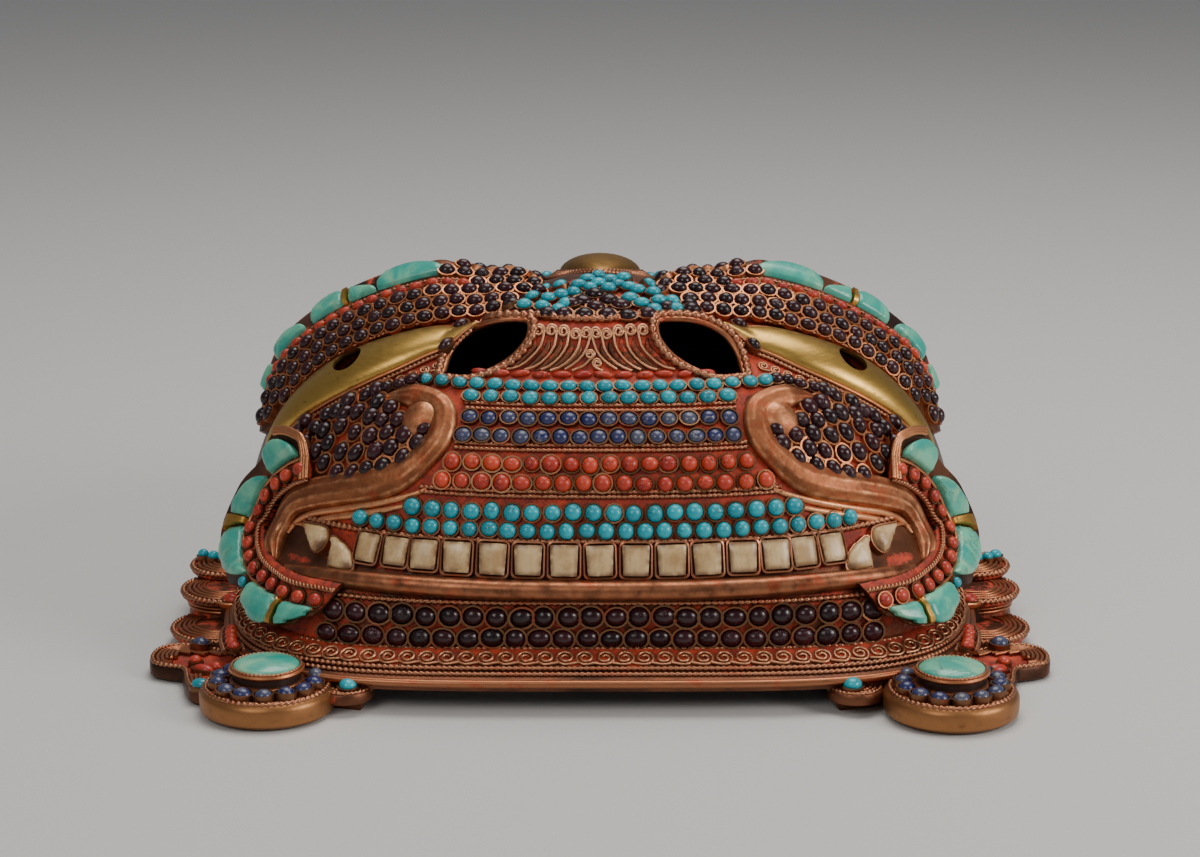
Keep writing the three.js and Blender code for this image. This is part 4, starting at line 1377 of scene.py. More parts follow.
# Along the line: how far the inner end is rounded, and where the brow narrows and ends below.
ROUND_END, LOW_END_START, LOW_END_LENGTH, BROW_END = 0.09, 0.87, 0.066, 0.935


def brow_swell(share):
    inner_end = lerp(0.2, 0.58, ease(share, -0.02, 0.07)) + lerp(0, 0.42, ease(share, 0.17, 0.3))
    return inner_end * lerp(1, 0.25, ease(share, 0.7, 0.95))


def on_brow(share, across):
    return lerp(2, BROW_HEIGHT * brow_swell(share), (across - BROW_FRONT) / (BROW_RIDGE - BROW_FRONT))


def brow_section(share):
    swell = brow_swell(share)
    narrow = lerp(0.4, 1, swell)
    round_end = math.sqrt(1 - (1 - min(share / ROUND_END, 1)) ** 2)
    low_end = math.sqrt(1 - clamp((share - LOW_END_START) / LOW_END_LENGTH) ** 2)
    front = BROW_FRONT * lerp(0.7, 1, swell) * lerp(0.25, 1, round_end)
    front *= lerp(1, 0.72, ease(share, 0.78, 0.92)) * lerp(0.3, 1, low_end)
    slim = narrow * lerp(1, 0.55, ease(share, 0.8, 0.95)) * lerp(0.4, 1, low_end)
    ridge = BROW_RIDGE * slim * lerp(0.2, 1, round_end)
    back = BROW_BACK * slim * lerp(0.25, 1, round_end)
    top = max(BROW_HEIGHT * swell, 2.6) * lerp(0.35, 1, round_end)
    root = 0.2
    section = [(front, root), (front - 0.3, 1.1)]
    for i in range(9):
        t = i / 8
        lift = lerp(min(2, top), top - 0.2, t) + 0.5 * math.sin(math.pi * t)
        section.append((lerp(front, ridge - 1, t), lift))
    section += [(ridge, top), (lerp(ridge, back, 0.35), top - 0.7), (lerp(ridge, back, 0.75), top * 0.75)]
    return [*section, (back, top * 0.5), (back, root)]


def paint_rings(piece, amounts):
    """The ground attribute of a band, the same along each of its lines."""
    values = [amounts[i % len(amounts)] for i in range(len(piece.data.vertices))]
    piece.data.attributes.new("ground", "FLOAT", "POINT").data.foreach_set("value", values)


def brow_low_edge(share):
    return BROW_FRONT * lerp(0.7, 1, brow_swell(share)) + 0.5


def brows():
    piece = skin_over("brow", band_rings(SKIN, BROW, 110, brow_section, 0, BROW_END))
    carrier = Carrier(piece)
    paint(piece, lambda point, outward: (0.4 if outward > 0.3 else 0.25) * ease(point.z, 56, 68))
    pair(piece, "brow_ground", GROUND, "brow_SIDE")
    garnet_lanes = [
        lane(carrier, SKIN, BROW, lambda s: -9.6 * lerp(0.8, 1, ease(s, 0, 0.2)), 0.035, 0.8, 120),
        lane(carrier, SKIN, BROW, lambda s: lerp(-5.2, -4.2, ease(s, 0.75, 0.88)), 0.02, 0.905, 120),
        lane(carrier, SKIN, BROW, lambda s: lerp(-0.9, 0.2, ease(s, 0.75, 0.88)), 0.015, 0.89, 120),
        lane(carrier, SKIN, BROW, 3.1, 0.02, 0.2, 60),
        lane(carrier, SKIN, BROW, 7.0, 0.045, 0.25, 60),
        lane(carrier, SKIN, BROW, 10.8, 0.09, 0.23, 60),
    ]
    places = []
    for k, track in enumerate(garnet_lanes):
        places += walk(track, pitch=5.15 + 0.12 * (k % 3), margin=2.6 * (k % 2))
    inlay_pair("brow_garnets", STONE, places, (2.4, 2.1, 1.9), GARNET, jitter=0.4, setting=COPPER)
    places = walk(lane(carrier, SKIN, BROW, 2.5, 0.21, 0.8, 100), pitch=4.7)
    inlay_pair("brow_corals", STONE, places, (2.15, 1.4, 1.6), CORAL, collar_height=0.6, rise=0.5)
    wires = [above(lane(carrier, SKIN, BROW, across, 0.2, 0.85, 100), 0.4) for across in (0.9, 4.0)]
    wires.append(above(lane(carrier, SKIN, BROW, brow_low_edge, 0.05, 0.78, 120), 0.3))
    lay_pair("brow_wires", wires, 0.6, WIRE, beads=1.4)


def flame(line, bed, start, end, widths, inner, steps=20, grow=0.0):
    """A flame-shaped plaque along a line, softly domed. Widths are at its start, middle and end."""
    rings = []
    first, middle_width, last = widths
    for i in range(steps + 1):
        along = i / steps
        share = lerp(start, end, along)
        wide = first * (1 - along) * (1 - 2 * along) + 4 * middle_width * along * (1 - along)
        wide += last * along * (2 * along - 1)
        outer = inner + wide + grow
        low = inner - grow
        ends = clamp(min(along, 1 - along) * 9) ** 0.5 if not grow else 1
        half, middle = (outer - low) / 2, (outer + low) / 2
        guide = line.at(share)
        aside = SKIN.level(guide).cross(line.heading(share)).normalized()
        ring = []
        for k in range(13):
            angle = math.pi * k / 12
            across = middle - half * math.cos(angle) * lerp(0.72, 1, ends)
            rise = 0.9 + grow + 1.7 * math.sin(angle) ** 0.5 * lerp(0.35, 1, ends)
            ring.append((across, bed(share, across) + rise))
        ring += [(outer, bed(share, outer) + 0.1), (low, bed(share, low) + 0.1)]
        rings.append([SKIN.lifted(guide + aside * across, lift) for across, lift in ring])
    return skin_over("flame", rings)


# The plaques: [start, end, [width at the start, middle and end]].
BROW_FLAMES = [
    (0.27, 0.45, (2.0, 6.0, 4.0)), (0.455, 0.532, (0.8, 3.2, 4.6)), (0.549, 0.645, (4.8, 6.0, 4.0)),
    (0.665, 0.765, (1.2, 4.6, 4.6)), (0.78, 0.84, (1.0, 4.0, 5.0)),
]
CHEEK_FLAMES = [
    (0.05, 0.2, (1.5, 7.0, 6.0)), (0.225, 0.374, (1.2, 5.8, 8.6)), (0.396, 0.605, (8.8, 6.6, 1.0)),
    (0.665, 0.838, (4.5, 7.6, 7.0)), (0.862, 0.975, (6.6, 4.4, 1.0)),
]
# The gold straps between plaques: [start, end, width].
BROW_GOLD = [(0.535, 0.546, 4.5)]
CHEEK_GOLD = [(0.378, 0.392, 7.2), (0.843, 0.859, 6.3)]


def flames():
    for name, line, bed, inner, rows, gold in (
        ("brow", BROW, on_brow, 4.0, BROW_FLAMES, BROW_GOLD),
        ("cheek", CHEEK_BAND, flare_lift, CORAL_LANE + 0.6, CHEEK_FLAMES, CHEEK_GOLD),
    ):
        for i, (start, end, widths) in enumerate(rows):
            piece = flame(line, bed, start, end, widths, inner)
            tinted(piece.data, dice.random())
            pair(piece, f"{name}_plaque_{i + 1}", PLAQUE, f"{name}_flame_SIDE_{i + 1}")
        bands = [flame(line, bed, start, end, (wide,) * 3, inner, 4, 0.25) for start, end, wide in gold]
        pair(joined("gold", bands), f"{name}_gold_bands", GOLD)


# The bands round the corners of the mouth

CHEEK_BAND = Line([
    (87, -71.5, 60.5), (92.3, -67.2, 57.2), (98.8, -62, 50), (102.5, -60.5, 40), (102.8, -67, 35),
    (101.5, -77, 31.5), (96.5, -87.5, 29.6), (89.9, -94.7, 28.8), (82.5, -98.8, 28.7),
])
CORAL_LANE = 3.6
FLARE = {"gentle": 0.36, "start": 3.4, "thickness": 2.6}
FLAME_REACH = [
    (0, 5), (0.14, 11), (0.215, 7.5), (0.38, 12), (0.52, 9.5), (0.63, 5.5), (0.73, 9.5), (0.85, 8.6),
    (1, 2.5),
]


def stand_off(share):
    return 2.4 * ease(share, 0.72, 0.86)


def flare_lift(share, across):
    return FLARE["start"] + FLARE["gentle"] * max(across - CORAL_LANE, 0) + stand_off(share) / 2


def reach_at(share):
    for (start, low), (end, high) in zip(FLAME_REACH, FLAME_REACH[1:]):
        if share <= end:
            return lerp(low, high, ease(share, start, end))
    return FLAME_REACH[-1][1]


def cheek_section(share):
    edge = CORAL_LANE + reach_at(share)
    root = 0.3 + stand_off(share)
    top = flare_lift(share, edge)
    lane_top = flare_lift(share, 0)
    section = [
        (-CORAL_LANE - 0.1, root), (-CORAL_LANE, lane_top - 1.0), (-CORAL_LANE + 0.6, lane_top - 0.5),
    ]
    halfway = lerp(CORAL_LANE, edge, 0.5)
    section += [(-1.5, lane_top - 0.2), (1.5, lane_top), (CORAL_LANE, lane_top)]
    section.append((halfway, flare_lift(share, halfway)))
    section += [(edge - 0.5, top), (edge, top - 0.4), (edge, top - 1.6), (edge - 0.6, top - 2.0)]
    return [*section, (CORAL_LANE, root)]


def cheek_band_rings():
    """The band's rings, with its last few drawn out to a point."""
    rings = band_rings(SKIN, CHEEK_BAND, 100, cheek_section)
    way = CHEEK_BAND.heading(1)
    for k, (across, _) in enumerate(cheek_section(1)):
        reach = 5.5 * clamp((4 - across) / 8)
        for back in range(8):
            rings[-1 - back][k] = rings[-1 - back][k] + way * reach * (1 - back / 8)
    return rings


# Where the wires over the end of the band run: [share, across, how much they spread along the band].
END_LOOP = [
    (0.001, -3.6, 1), (0, 0, 1), (0, 4, 0.9), (0.004, 7.3, 0.7), (0.02, 9.3, 0.4), (0.05, 11, 0.2),
    (0.09, 13.4, 0), (0.13, 14.8, 0),
]
CHEEK_BEAD = (0.634, 6.4)  # share along the band, place across it


def cheek_bands():
    piece = skin_over("cheek_band", cheek_band_rings())
    carrier = Carrier(piece)
    paint_rings(piece, [0.1, 0.95, 0.95, 0.95, 0.95, 0.3] + [0.15] * 6)
    pair(piece, "cheek_band_ground", GROUND, "cheek_band_SIDE")
    track = lane(carrier, SKIN, CHEEK_BAND, 0.2, 0.03, 1.0, 100)
    places = walk(track, count=14)
    share, across = CHEEK_BEAD
    bead = on_line(SKIN, CHEEK_BAND, share, across, flare_lift(share, across) - 0.2)
    beads = [(bead, SKIN.level(bead), CHEEK_BAND.heading(share))]
    for name, corals, lone in (("right", places, beads), ("left", mirrored(places), mirrored(beads))):
        inlay(f"cheek_corals_{name}", BALL, corals, (2.15, 2.05, 2.0), CORAL, collar_height=1.2, rise=0.6)
        inlay(f"cheek_bead_{name}", BALL, lone, (1.7, 1.7, 1.9), TURQUOISE, collar_height=1.0)
    way = CHEEK_BAND.heading(1)
    inner_edge = lane(carrier, SKIN, CHEEK_BAND, -CORAL_LANE + 0.5, 0.0, 1.0, 120)
    inner_edge += [(inner_edge[-1][0] + way * k * 1.2, inner_edge[-1][1]) for k in range(1, 5)]
    lay_pair("cheek_band_rope", rope(inner_edge, 0.45, 2.6, 0.5), 0.5, WIRE)
    outer = above(lane(carrier, SKIN, CHEEK_BAND, CORAL_LANE - 0.3, 0.0, 1.0, 120), 0.5)
    lay_pair("cheek_band_edge", [outer], 0.6, COPPER, sides=2)
    loops = []
    for k in range(3):
        guides = [(100 * (s + 0.011 * k * inner), a - 0.8 * k * (1 - inner), 0) for s, a, inner in END_LOOP]
        spots = [(spot.x / 100, spot.y) for spot in Line(guides).points]
        loops.append(
            [on_line(SKIN, CHEEK_BAND, s, a, flare_lift(s, a) + 0.3 + 0.25 * k) for s, a in spots]
        )
    lay_pair("cheek_band_loops", loops, 0.75, COPPER, sides=3)


# Garnets on the cheeks

FACE_MIDDLE = 599
# The garnets of the left cheek, in the picture.
CHEEK_GARNETS = [
    (366.7, 395), (378, 403), (390, 407), (349, 401.7), (359, 411.7), (370.7, 416.7), (382.7, 420),
    (341.7, 425), (355, 431.7), (370, 435), (387, 433), (404, 434), (423, 426.7), (416.7, 442),
    (401.7, 456.7), (390.7, 446.7), (375, 450.7), (356.7, 452), (342, 450.7), (329, 442), (316, 450.7),
    (324, 461.7), (336.7, 472), (351.7, 472), (366.7, 468), (382.7, 465), (328, 415), (337, 411),
    (316.7, 428), (325, 430), (306.7, 422), (300, 431.7), (306.7, 442), (293, 438), (345, 414),
    (398, 420), (376, 390),
]


def cheek_garnets():
    spots = [(2 * FACE_MIDDLE - x, y) for x, y in CHEEK_GARNETS]
    places = seen_places(spots, (-0.5, 0.2, 1), drop=2)
    inlay_pair("cheek_garnets", STONE, places, (2.9, 2.4, 2.4), GARNET, wild=0.1, setting=COPPER)


# The third eye

THIRD_EYE_Y = 6
THIRD_EYE_STEPS = 36
HALF_THIRD_EYE = (13, 20)
COLLAR_LENGTH, COLLAR_RISE = 23.5, 2.5


def almond(share):
    """How wide an almond is along its length, as a share of its middle."""
    return math.sin(math.pi * share) ** 0.75


def over_skin(x, y, rise):
    base, _ = SKIN.above(x, y)
    return base + Vector((0, 0, rise))


def third_eye():
    half_width, half_length = HALF_THIRD_EYE

    def rings(length, heights):
        made = []
        for i in range(THIRD_EYE_STEPS + 1):
            share = clamp(i / THIRD_EYE_STEPS, 0.006, 0.994)
            opening = almond(share)
            y = THIRD_EYE_Y + length * (2 * share - 1)
            width = half_width * opening
            made.append([over_skin(across * width, y, rise) for across, rise in heights(opening)])
        return made

    def dome_heights(opening):
        arc = [(math.cos(math.pi * i / 18), math.sin(math.pi * i / 18)) for i in range(19)]
        return [(1, 0.1), *[(across, (1.4 + 6.6 * up) * opening + 0.6) for across, up in arc], (-1, 0.1)]

    dress(skin_over("third_eye_brass", rings(half_length, dome_heights)), DARK_BRASS, "third_eye")

    def collar_heights(opening):
        rise = COLLAR_RISE * lerp(0.5, 1, opening)
        bend = lerp(0.8, rise, 0.55)
        slope = [(1.27, 0.1), (1.25, 0.8), (1.14, bend), (1.03, rise), (0.99, rise), (0.97, 0.1)]
        return slope + [(-across, up) for across, up in slope[::-1]]

    dress(skin_over("third_eye_collar", rings(COLLAR_LENGTH, collar_heights)), RIM_COPPER)
    strands = []
    for i in range(3, THIRD_EYE_STEPS - 2):
        share = i / THIRD_EYE_STEPS
        opening = almond(share)
        for way in (-1, 1):
            strand = []
            for across, up in ((1.27, 0.1), (1.2, 0.4), (1.1, 0.75), (1.02, 1.0)):
                y = THIRD_EYE_Y + COLLAR_LENGTH * (2 * share - 1) * (1.0 - (1.27 - across) * 0.6)
                rise = COLLAR_RISE * lerp(0.5, 1, opening) * up + 0.3
                strand.append(over_skin(way * across * half_width * opening, y, rise))
            strands.append(strand)
    lay("third_eye_filigree", strands, 0.5, WIRE)
    for name, wide, long, rise in (("brim", 13.3, 20.5, 2.7), ("foot", 16.8, 24.2, 0.6)):
        loop = []
        for i in range(90):
            angle = math.tau * i / 90
            x, y = math.cos(angle), math.sin(angle)
            opening = math.cos(math.pi / 2 * clamp(abs(y), 0, 0.994)) ** 0.75
            height = rise * lerp(0.5, 1, opening) if name == "brim" else rise
            loop.append(over_skin(math.copysign(opening, x) * wide, THIRD_EYE_Y + y * long, height))
        lay(f"third_eye_{name}", [loop], 0.7, WIRE, beads=1.5, closed=True)


# The rim, its lobes and the ears

RIM_INNER = (106.4, 103.9, 4.9)
RIM_OUTER = (113.7, 116.7, 4.4)
RIM_POINTS = 220
CHIN_ARCH, CHIN_ARCH_HEIGHT = 67, 6.8
# The rim's section: [share of the way from the face's foot to the edge, height].
RIM_TOP = [
    (-0.25, 17.3), (0.0, 16.2), (0.4, 13.9), (0.78, 11.7), (0.9, 10.9), (1.02, 10.6), (1.1, 9.8),
    (1.1, 8.9), (1.02, 8.2),
]
RIM_UNDER = [(0.85, 8.0), (0.7, 9.9), (-0.25, 15.5)]


def rim_point(angle, share, z):
    half_width, half_length, power = (lerp(a, b, share) for a, b in zip(RIM_INNER, RIM_OUTER))
    c, s = math.cos(angle), math.sin(angle)
    scale = (abs(c) ** power + abs(s) ** power) ** (-1 / power)
    return Vector((c * scale * half_width, s * scale * half_length, z))


def rim_height(share):
    """The height of the rim's top, which falls faster past its bend."""
    return table([(-0.4, 18.5), (0.82, 11.5), (1, 9.5)], share)


def rim_track(share, lift):
    """A track of [point, normal] once round the rim."""
    track = []
    for i in range(RIM_POINTS):
        angle = math.tau * i / RIM_POINTS
        here = rim_point(angle, share, rim_height(share))
        out = (rim_point(angle, share + 0.3, 0) - rim_point(angle, share, 0)).normalized()
        normal = (out * 0.45 + Vector((0, 0, 1))).normalized()
        track.append((here + normal * lift, normal))
    return track


def rim():
    rings = []
    for i in range(RIM_POINTS):
        angle = math.tau * (i + 0.5) / RIM_POINTS
        edge = rim_point(angle, 1, 0)
        arch = edge.y < -80 and abs(edge.x) < CHIN_ARCH
        floor = CHIN_ARCH_HEIGHT if arch else 0.0
        foot = [(1.0, floor), (0.85, floor)]
        rings.append([rim_point(angle, share, z) for share, z in (*RIM_TOP, *foot, *RIM_UNDER)])
    piece = skin_over("rim", rings, loop=True)
    paint(piece, lambda point, outward: 0.8 if point.z > 11.9 and outward > 0 else 0.1)
    dress(piece, GROUND, "rim_plate")
    roll_track = [rim_point(math.tau * i / RIM_POINTS, 1.06, 9.3) for i in range(RIM_POINTS)]
    lay("rim_edge", [roll_track], 1.25, RIM_COPPER, closed=True, sides=3)
    beading = [[p for p, _ in rim_track(share, lift)] for share, lift in ((0.72, 0.55), (0.86, 0.4))]
    lay("rim_beading", beading, 0.8, WIRE, beads=1.7, closed=True)
    places = walk(rim_track(0.38, 0.4), pitch=5.7, closed=True)
    curls = [scroll(place, 3.0, 1.8, 1 if place[0].x > -2 else -1, 1.2) for place in places]
    lay("rim_scrolls", curls, 0.44, SCROLL)


def circle(x, y, radius, z, count=60, start=0.0):
    angles = [start + math.tau * i / count for i in range(count)]
    return [Vector((x + radius * math.cos(angle), y + radius * math.sin(angle), z)) for angle in angles]


def upright(point, heading=(1, 0, 0)):
    """A place on a level surface."""
    return Vector(point), Vector((0, 0, 1)), Vector(heading)


def ring_places(x, y, radius, z, count, start=0.0):
    points = circle(x, y, radius, z, count, start)
    return [upright(point, (y - point.y, point.x - x, 0)) for point in points]


EARRINGS = {"left": (-95.5, -113.5), "right": (100.5, -116.5)}
EARRING = {"radius": 19.5, "bottom": 0.8, "top": 8.0}
# The collar of an earring's stone: [radius, height over the plate].
EARRING_COLLAR = [
    (11.2, -0.8), (10.7, 1.6), (9.9, 2.2), (9.7, 4.0), (10.5, 4.4), (10.9, 5.0), (10.7, 5.6), (9.9, 5.7),
    (9.7, 5.0), (2.0, 5.0),
]


def turned(name, x, y, profile, segments=72):
    """A round piece from its profile of radius and height."""
    return skin_over(name, [circle(x, y, radius, z, segments) for radius, z in profile])


def earrings():
    radius, bottom, top = EARRING.values()
    for name, (x, y) in EARRINGS.items():
        plate = [
            (radius - 1.2, bottom), (radius - 0.2, bottom + 0.9), (radius, bottom + 2.5),
            (radius, top - 2.0), (radius - 0.5, top - 0.9), (radius - 1.3, top - 0.3),
            (radius - 2.2, top - 0.6), (6, top - 0.8),
        ]
        dress(turned(f"earring_plate_{name}", x, y, plate), BRONZE)
        ground = [(radius - 1.9, top - 1.4), (radius - 2.3, top - 0.5), (6, top - 0.5)]
        ground = turned(f"earring_ground_{name}", x, y, ground)
        paint(ground, lambda point, outward: 0.7)
        dress(ground, GROUND)
        lay(
            f"earring_beading_{name}", [circle(x, y, radius - 1.9, top - 0.1)], 0.85, WIRE, beads=1.7,
            closed=True,
        )
        lay(
            f"earring_wire_{name}", [circle(x, y, radius - 3.4, top - 0.3)], 0.5, COPPER, closed=True,
            sides=2,
        )
        lapis = ring_places(x, y, 14.0, top - 0.6, 14, dice.uniform(0, 0.4))
        inlay(f"earring_lapis_{name}", STONE, lapis, (2.65, 2.5, 2.2), LAPIS, rise=1.9, collar_height=2.7)
        steps = [(across, top + up) for across, up in EARRING_COLLAR]
        dress(turned(f"earring_collar_{name}", x, y, steps, 56), COPPER)
        lay(
            f"earring_ring_{name}", [circle(x, y, 10.0, top + 5.9, 50)], 0.5, WIRE, beads=1.2,
            closed=True,
        )
        bpy.ops.mesh.primitive_uv_sphere_add(segments=40, ring_count=20, radius=1)
        gem = bpy.context.object
        spot = Matrix.Translation((x * MM, y * MM, (top + 5.6) * MM))
        gem.data.transform(spot @ sized(9.6, 9.0, 2.6))
        tinted(gem.data, dice.random())
        smooth(gem)
        dress(gem, PLAQUE, f"earring_stone_{name}").name = f"earring_cabochon_{name}"


def lone_stones(name, spots, shape, finish, size, tall):
    """Single stones on tall collars: a place on the right half and a copy on the left."""
    for side, which in ((1, "right"), (-1, "left")):
        places = [upright((side * x, y, z), (1, 0.4 * side, 0)) for x, y, z in spots]
        inlay(f"{name}_{which}", shape, places, size, finish, collar_height=tall, rise=tall * 0.75)


HALF_LOBE = {"x": 73.5, "y": -111.5, "radius": 8.6, "bottom": 3.2, "top": 6.8}


def lobes():
    x, y, radius, bottom, top = HALF_LOBE.values()
    profile = [
        (radius - 1.5, bottom), (radius - 0.3, bottom + 0.4), (radius, top - 1.4),
        (radius - 0.6, top - 0.3), (radius - 1.6, top), (radius - 2.4, top - 0.5), (0.5, top - 0.5),
    ]
    piece = turned("lobe", x, y, profile, 48)
    paint(piece, lambda point, outward: 0.3)
    pair(piece, "half_lobe", GROUND)
    loops = [circle(x, y, radius - 1.3, top, 40), circle(x, y, radius - 2.9, top - 0.2, 34)]
    loops.append(circle(x, y, radius - 4.2, top, 30))
    lay_pair("half_lobe_beading", loops, 0.55, WIRE, beads=1.3, closed=True)
    lone_stones("half_lobe_bead", [(x - 1.2, y - 2.8, top - 0.2)], BALL, TURQUOISE, (2.7, 2.6, 2.6), 1.4)


RIBBON = [
    (104, -84), (107, -80.2), (110, -77), (114, -74.3), (118.3, -72), (121.5, -70.6), (124.8, -69.6),
    (128, -70), (130.5, -71.5), (132.3, -73.6), (133.4, -76.5), (133.9, -81), (133.2, -85),
    (131.9, -87.8), (128, -90.1), (123.6, -91.6), (122.4, -94), (121.6, -98), (120.9, -102),
    (119.5, -106.5), (118.2, -109.4), (116, -111), (110, -111.7), (104, -112), (98, -107), (96, -100),
    (98, -92),
]


def inset(outline, depth):
    """The points of a closed outline, clockwise from above, moved inwards."""
    moved = []
    for i, (x, y) in enumerate(outline):
        (x0, y0), (x1, y1) = outline[i - 1], outline[(i + 1) % len(outline)]
        along = Vector((x1 - x0, y1 - y0, 0)).normalized()
        inwards = Vector((along.y, -along.x, 0))
        moved.append((x + inwards.x * depth, y + inwards.y * depth))
    return moved


def ribbon_lobes():
    """The side ornaments that run like folded ribbon, with beads between their folds."""
    rings = []
    for depth, z in ((0.8, 0.4), (0.0, 1.2), (0.0, 4.0), (0.5, 4.8), (1.4, 5.0), (2.2, 4.4)):
        rings.append([Vector((x, y, z)) for x, y in inset(RIBBON, depth)])
    piece = skin_over("ribbon", rings)
    paint(piece, lambda point, outward: 0.75 if 4.3 < point.z < 4.6 else 0.15)
    pair(piece, "ribbon", GROUND)
    edge = [Vector((x, y, 5.1)) for x, y in inset(RIBBON, 1.0)[1:22]]
    lay_pair("ribbon_edge", [Line(edge, 3).points], 0.75, WIRE, beads=1.5)
    folds = []
    for k in range(5):
        bend = inset(RIBBON, 2.5 + 1.35 * k)[2 + k // 2 : 15 - k // 2]
        folds.append(Line([(x, y, 4.9 + 0.12 * k) for x, y in bend], 3).points)
    for k in range(3):
        bend = inset(RIBBON, 2.3 + 1.3 * k)[17 : 22 - k // 2]
        folds.append(Line([(x, y, 4.9) for x, y in bend], 3).points)
    lay_pair("ribbon_folds", folds, 0.62, RIM_COPPER, sides=2)
    lone_stones(
        "ribbon_coral", [(119.0, -88.2, 5.2), (112.5, -93, 5.0)], BALL, CORAL, (2.0, 1.9, 1.9), 0.9
    )
    lone_stones("ribbon_coral_flat", [(116.2, -94, 4.9)], STONE, CORAL, (3.4, 1.9, 1.6), 0.8)
    lone_stones("ribbon_turquoise", [(115.5, -108.2, 4.6)], BALL, TURQUOISE, (2.8, 2.2, 2.3), 0.9)
    lone_stones("ribbon_lapis", [(119.4, -75.0, 5.0)], STONE, LAPIS, (2.9, 2.6, 2.2), 2.6)
    arc = [(109.8, -74.5), (109.6, -78.5), (109.2, -82.4), (108.6, -86.2), (107.8, -90.0)]
    lone_stones("ear_corals", [(px, py, 10.2) for px, py in arc], BALL, CORAL, (2.1, 1.8, 1.9), 1.0)
    frame_lines = []
    for shift in (-3.0, 3.0):
        line = Line([(px + shift, py, 10.6) for px, py in [(109.4, -70.5), *arc, (107.0, -93.5)]], 6)
        frame_lines.append(line.points)
    lay_pair("ear_coral_frame", frame_lines, 0.8, WIRE, beads=1.5)


CROWN_LOBES = [(0, 112, 24), (42, 110, 18), (-42, 110, 18), (79, 102, 17), (-79, 102, 17)]


def crown():
    for i, (x, y, radius) in enumerate(CROWN_LOBES):
        profile = [
            (radius - 0.8, 0.2), (radius, 1.0), (radius, 6.0), (radius - 0.5, 7.2), (radius - 1.4, 7.9),
            (radius - 2.8, 7.4), (radius * 0.5, 7.7), (1, 7.8),
        ]
        piece = turned(f"crown_lobe_{i + 1}", x, y, profile)
        paint(piece, lambda point, outward: 0.45 if point.z > 7 else 0.1)
        dress(piece, GROUND)
        loops = [circle(x, y, radius - 1.4, 8.0, 70)]
        lay(f"crown_beading_{i + 1}", loops, 0.8, WIRE, beads=1.7, closed=True)
        folds = [circle(x, y, radius - 3.4 - 1.5 * k, 7.7 + 0.1 * k, 60) for k in range(4)]
        lay(f"crown_folds_{i + 1}", folds, 0.62, RIM_COPPER, closed=True, sides=2)
    places = [upright((x, y + radius - 7.5, 7.6)) for x, y, radius in CROWN_LOBES]
    inlay("crown_stones", BALL, places, (2.7, 2.5, 2.4), TURQUOISE, collar_height=1.6, rise=1.0)


ARCH_START = 4  # how far up the forehead its arches start
ARCH_WIRES = [(88, 82), (78, 72), (68, 62)]


def forehead_arch(wide, long, lift=0.0, steps=160):
    """A line over the forehead, from the end of one brow round the back to the other."""
    track = []
    for i in range(steps + 1):
        angle = math.pi * i / steps
        x = math.copysign(abs(math.cos(angle)) ** 0.75, math.cos(angle)) * wide
        point, normal = SKIN.above(x, ARCH_START + long * math.sin(angle) ** 0.75)
        track.append((point + normal * lift, normal))
    return track


def forehead():
    """The forehead's plainer work: scrolls and corals between wires, and turquoise round the third eye."""
    wires = [[point for point, _ in forehead_arch(wide, long, 0.35)] for wide, long in ARCH_WIRES]
    for side in (1, -1):
        loop = []
        for i in range(25):
            angle = math.pi * i / 24
            x = side * (78 + 10 * math.cos(angle))
            point, normal = SKIN.above(x, ARCH_START - 9 * math.sin(angle))
            loop.append(point + normal * 0.35)
        wires.append(loop)
    lay("forehead_beading", wires, 0.8, WIRE, beads=1.8)
    curls = []
    for place in walk(forehead_arch(83, 77, 0.4), pitch=6.6, margin=3):
        curls.append(scroll(place, 3.1, 1.8, 1 if place[0].x > -2 else -1, 1.2))
    lay("forehead_scrolls", curls, 0.44, SCROLL)
    corals = walk(forehead_arch(73, 67), pitch=8.2, margin=4)
    inlay("forehead_corals", BALL, corals, (2.5, 2.3, 2.1), CORAL)
    ends = [(*SKIN.above(x, ARCH_START - 2.5), Vector((1, 0, 0))) for x in (78, -78)]
    inlay("forehead_ends", STONE, ends, (3.2, 3.0, 2.4), TURQUOISE)
    ring = []
    for i in range(120):
        share = i / 60 if i < 60 else (120 - i) / 60
        opening = almond(clamp(share, 0.01, 0.99))
        ring.append(SKIN.above(math.copysign(21 * opening, 59.5 - i), THIRD_EYE_Y + 28 * (2 * share - 1)))
    places = [place for place in walk(ring, pitch=7.6, closed=True) if place[0].y > 8]
    inlay("forehead_turquoise", STONE, places, (2.8, 2.2, 2.1), TURQUOISE)


EAR_TIERS = [(116, -52, 15, 4.8), (115.5, -35.5, 14.3, 11.8), (116.5, -20, 12.2, 14.8)]
EAR_CUP = (113, -48.5)
EAR_CUP_PROFILE = [
    (6.6, 4.0), (6.6, 5.0), (5.9, 5.6), (3.6, 6.2), (3.3, 9.6), (4.2, 11.0), (4.3, 11.8), (3.6, 12.1),
    (3.2, 11.4), (0.5, 11.4),
]


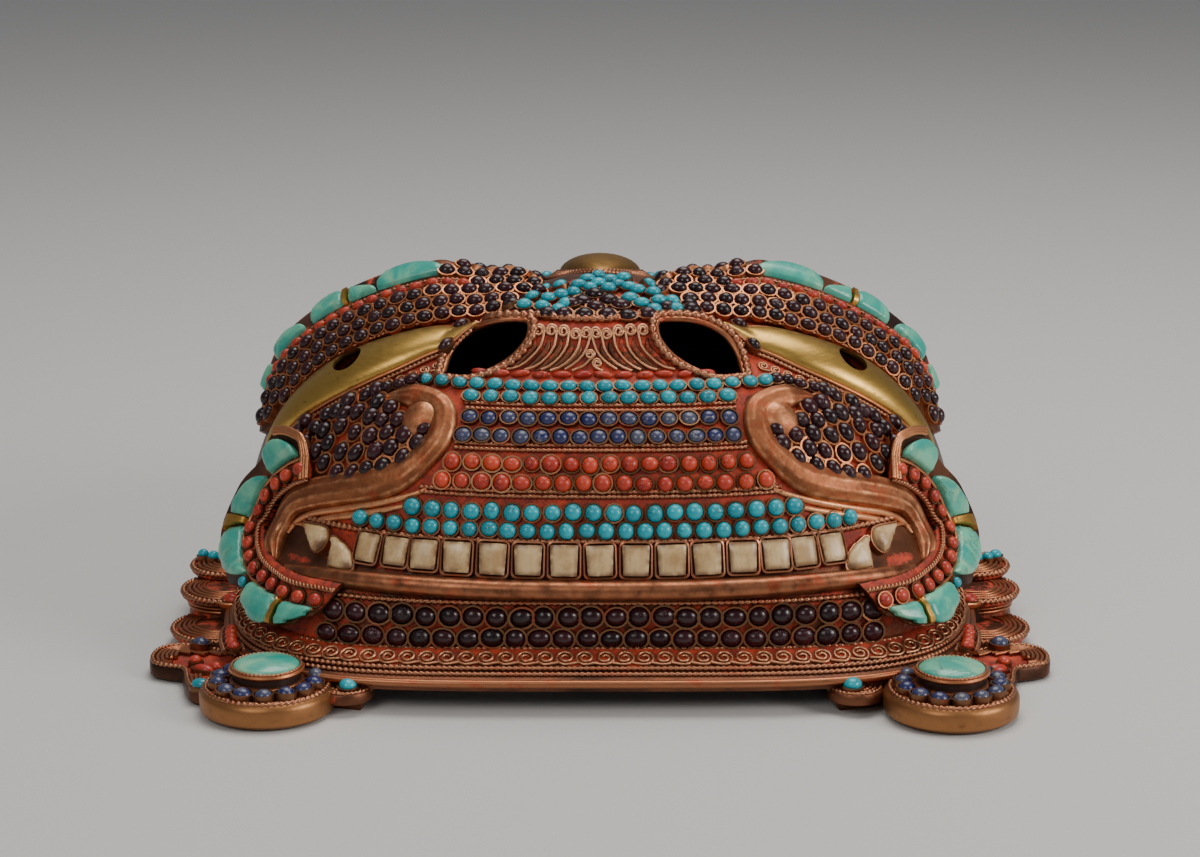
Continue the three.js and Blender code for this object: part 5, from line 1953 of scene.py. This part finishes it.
def ears():
    for i, (x, y, radius, top) in enumerate(EAR_TIERS):
        bottom = 0.4 if i == 0 else EAR_TIERS[i - 1][3] - 1.5
        profile = [
            (radius - 2.0, bottom), (radius - 2.6, max(bottom + 0.5, top - 4.0)), (radius - 1.0, top - 2.4),
            (radius, top - 1.6), (radius, top - 0.8), (radius - 0.8, top), (radius - 2.2, top - 0.4),
            (radius - 4, top + 0.2), (radius * 0.4, top + 0.9), (1, top + 1.0),
        ]
        names = ["ear_SIDE"] if i == 0 else []
        piece = turned("tier", x, y, profile, 60)
        paint(piece, lambda point, outward: 0.5)
        pair(piece, f"ear_tier_{i + 1}", GROUND, *names)
        loops = [circle(x, y, radius - 0.4, top - 0.3, 60)]
        lay_pair(f"ear_rope_{i + 1}", loops, 1.0, WIRE, beads=1.6, closed=True)
        folds = [circle(x, y, radius - 2.4 - 1.5 * k, top + 0.1 + 0.2 * k, 50) for k in range(4)]
        folds += [circle(x, y, radius - 1.9, top - 3.0, 50), circle(x, y, radius - 2.3, top - 4.4, 50)]
        lay_pair(f"ear_folds_{i + 1}", folds, 0.6, RIM_COPPER, closed=True, sides=2)
    x, y, radius, top = EAR_TIERS[2]
    aside = (8.6, 5.4, 2.2, -1.0, -4.2, -7.4)
    row = [(x + across, y - 1.5 + 0.05 * across**2, top + 0.8) for across in aside]
    lone_stones("ear_turquoise", row, BALL, TURQUOISE, (2.0, 1.8, 2.2), 1.3)
    x, y = EAR_CUP
    pair(turned("cup", x, y, EAR_CUP_PROFILE, 40), "ear_cup", COPPER)
    lone_stones("ear_cup_coral", [(x, y, 11.2)], STONE, CORAL, (2.9, 2.4, 2.1), 1.2)
    lone_stones("ear_cup_garnet", [(x - 4.4, y + 0.8, 11.4)], BALL, GARNET, (1.5, 1.3, 1.5), 1.0)


def ground_and_light():
    bpy.ops.mesh.primitive_plane_add(size=1)
    floor = bpy.context.object
    floor.name = "floor"
    floor.scale = (6, 6, 1)
    floor.location = (0, 1.2, 0)
    settle(floor)
    material, *_ = new_finish("pale_floor", Base_Color=(0.6, 0.595, 0.59, 1), Roughness=0.8)
    floor.data.materials.append(material)
    lights = (
        ("top_light", (0.1, 0.15, 1.0), 0.7, 7.8),
        ("front_light", (-0.5, -1.1, 0.9), 0.6, 4.6),
        ("side_light", (1.05, -0.55, 0.6), 0.5, 7.5),
        ("low_light", (1.6, -0.7, 0.25), 1.4, 3.2),
    )
    for name, where, size, power in lights:
        bpy.ops.object.light_add(type="AREA", location=where)
        lamp = bpy.context.object
        lamp.name = name
        lamp.data.size = size
        lamp.data.energy = power
        lamp.data.color = (1.0, 0.96, 0.9)
        towards = Vector((0, -0.05, 0.05)) - Vector(where)
        lamp.rotation_euler = towards.to_track_quat("-Z", "Y").to_euler()
    world = bpy.data.worlds.new("studio")
    bpy.context.scene.world = world
    world.use_nodes = True
    background = world.node_tree.nodes["Background"].inputs
    background["Color"].default_value = (0.55, 0.56, 0.58, 1)
    background["Strength"].default_value = 0.34


lips()
boss()
teeth()
fangs()
stone_rows()
row_wires()
nose()
filigree()
nose_stones()
eyes()
under_eye_scrolls()
brows()
flames()
cheek_bands()
cheek_garnets()
third_eye()
rim()
earrings()
lobes()
crown()
forehead()
ribbon_lobes()
ears()
ground_and_light()

for shape in (STONE, BALL, COLLAR):
    bpy.data.objects.remove(shape)
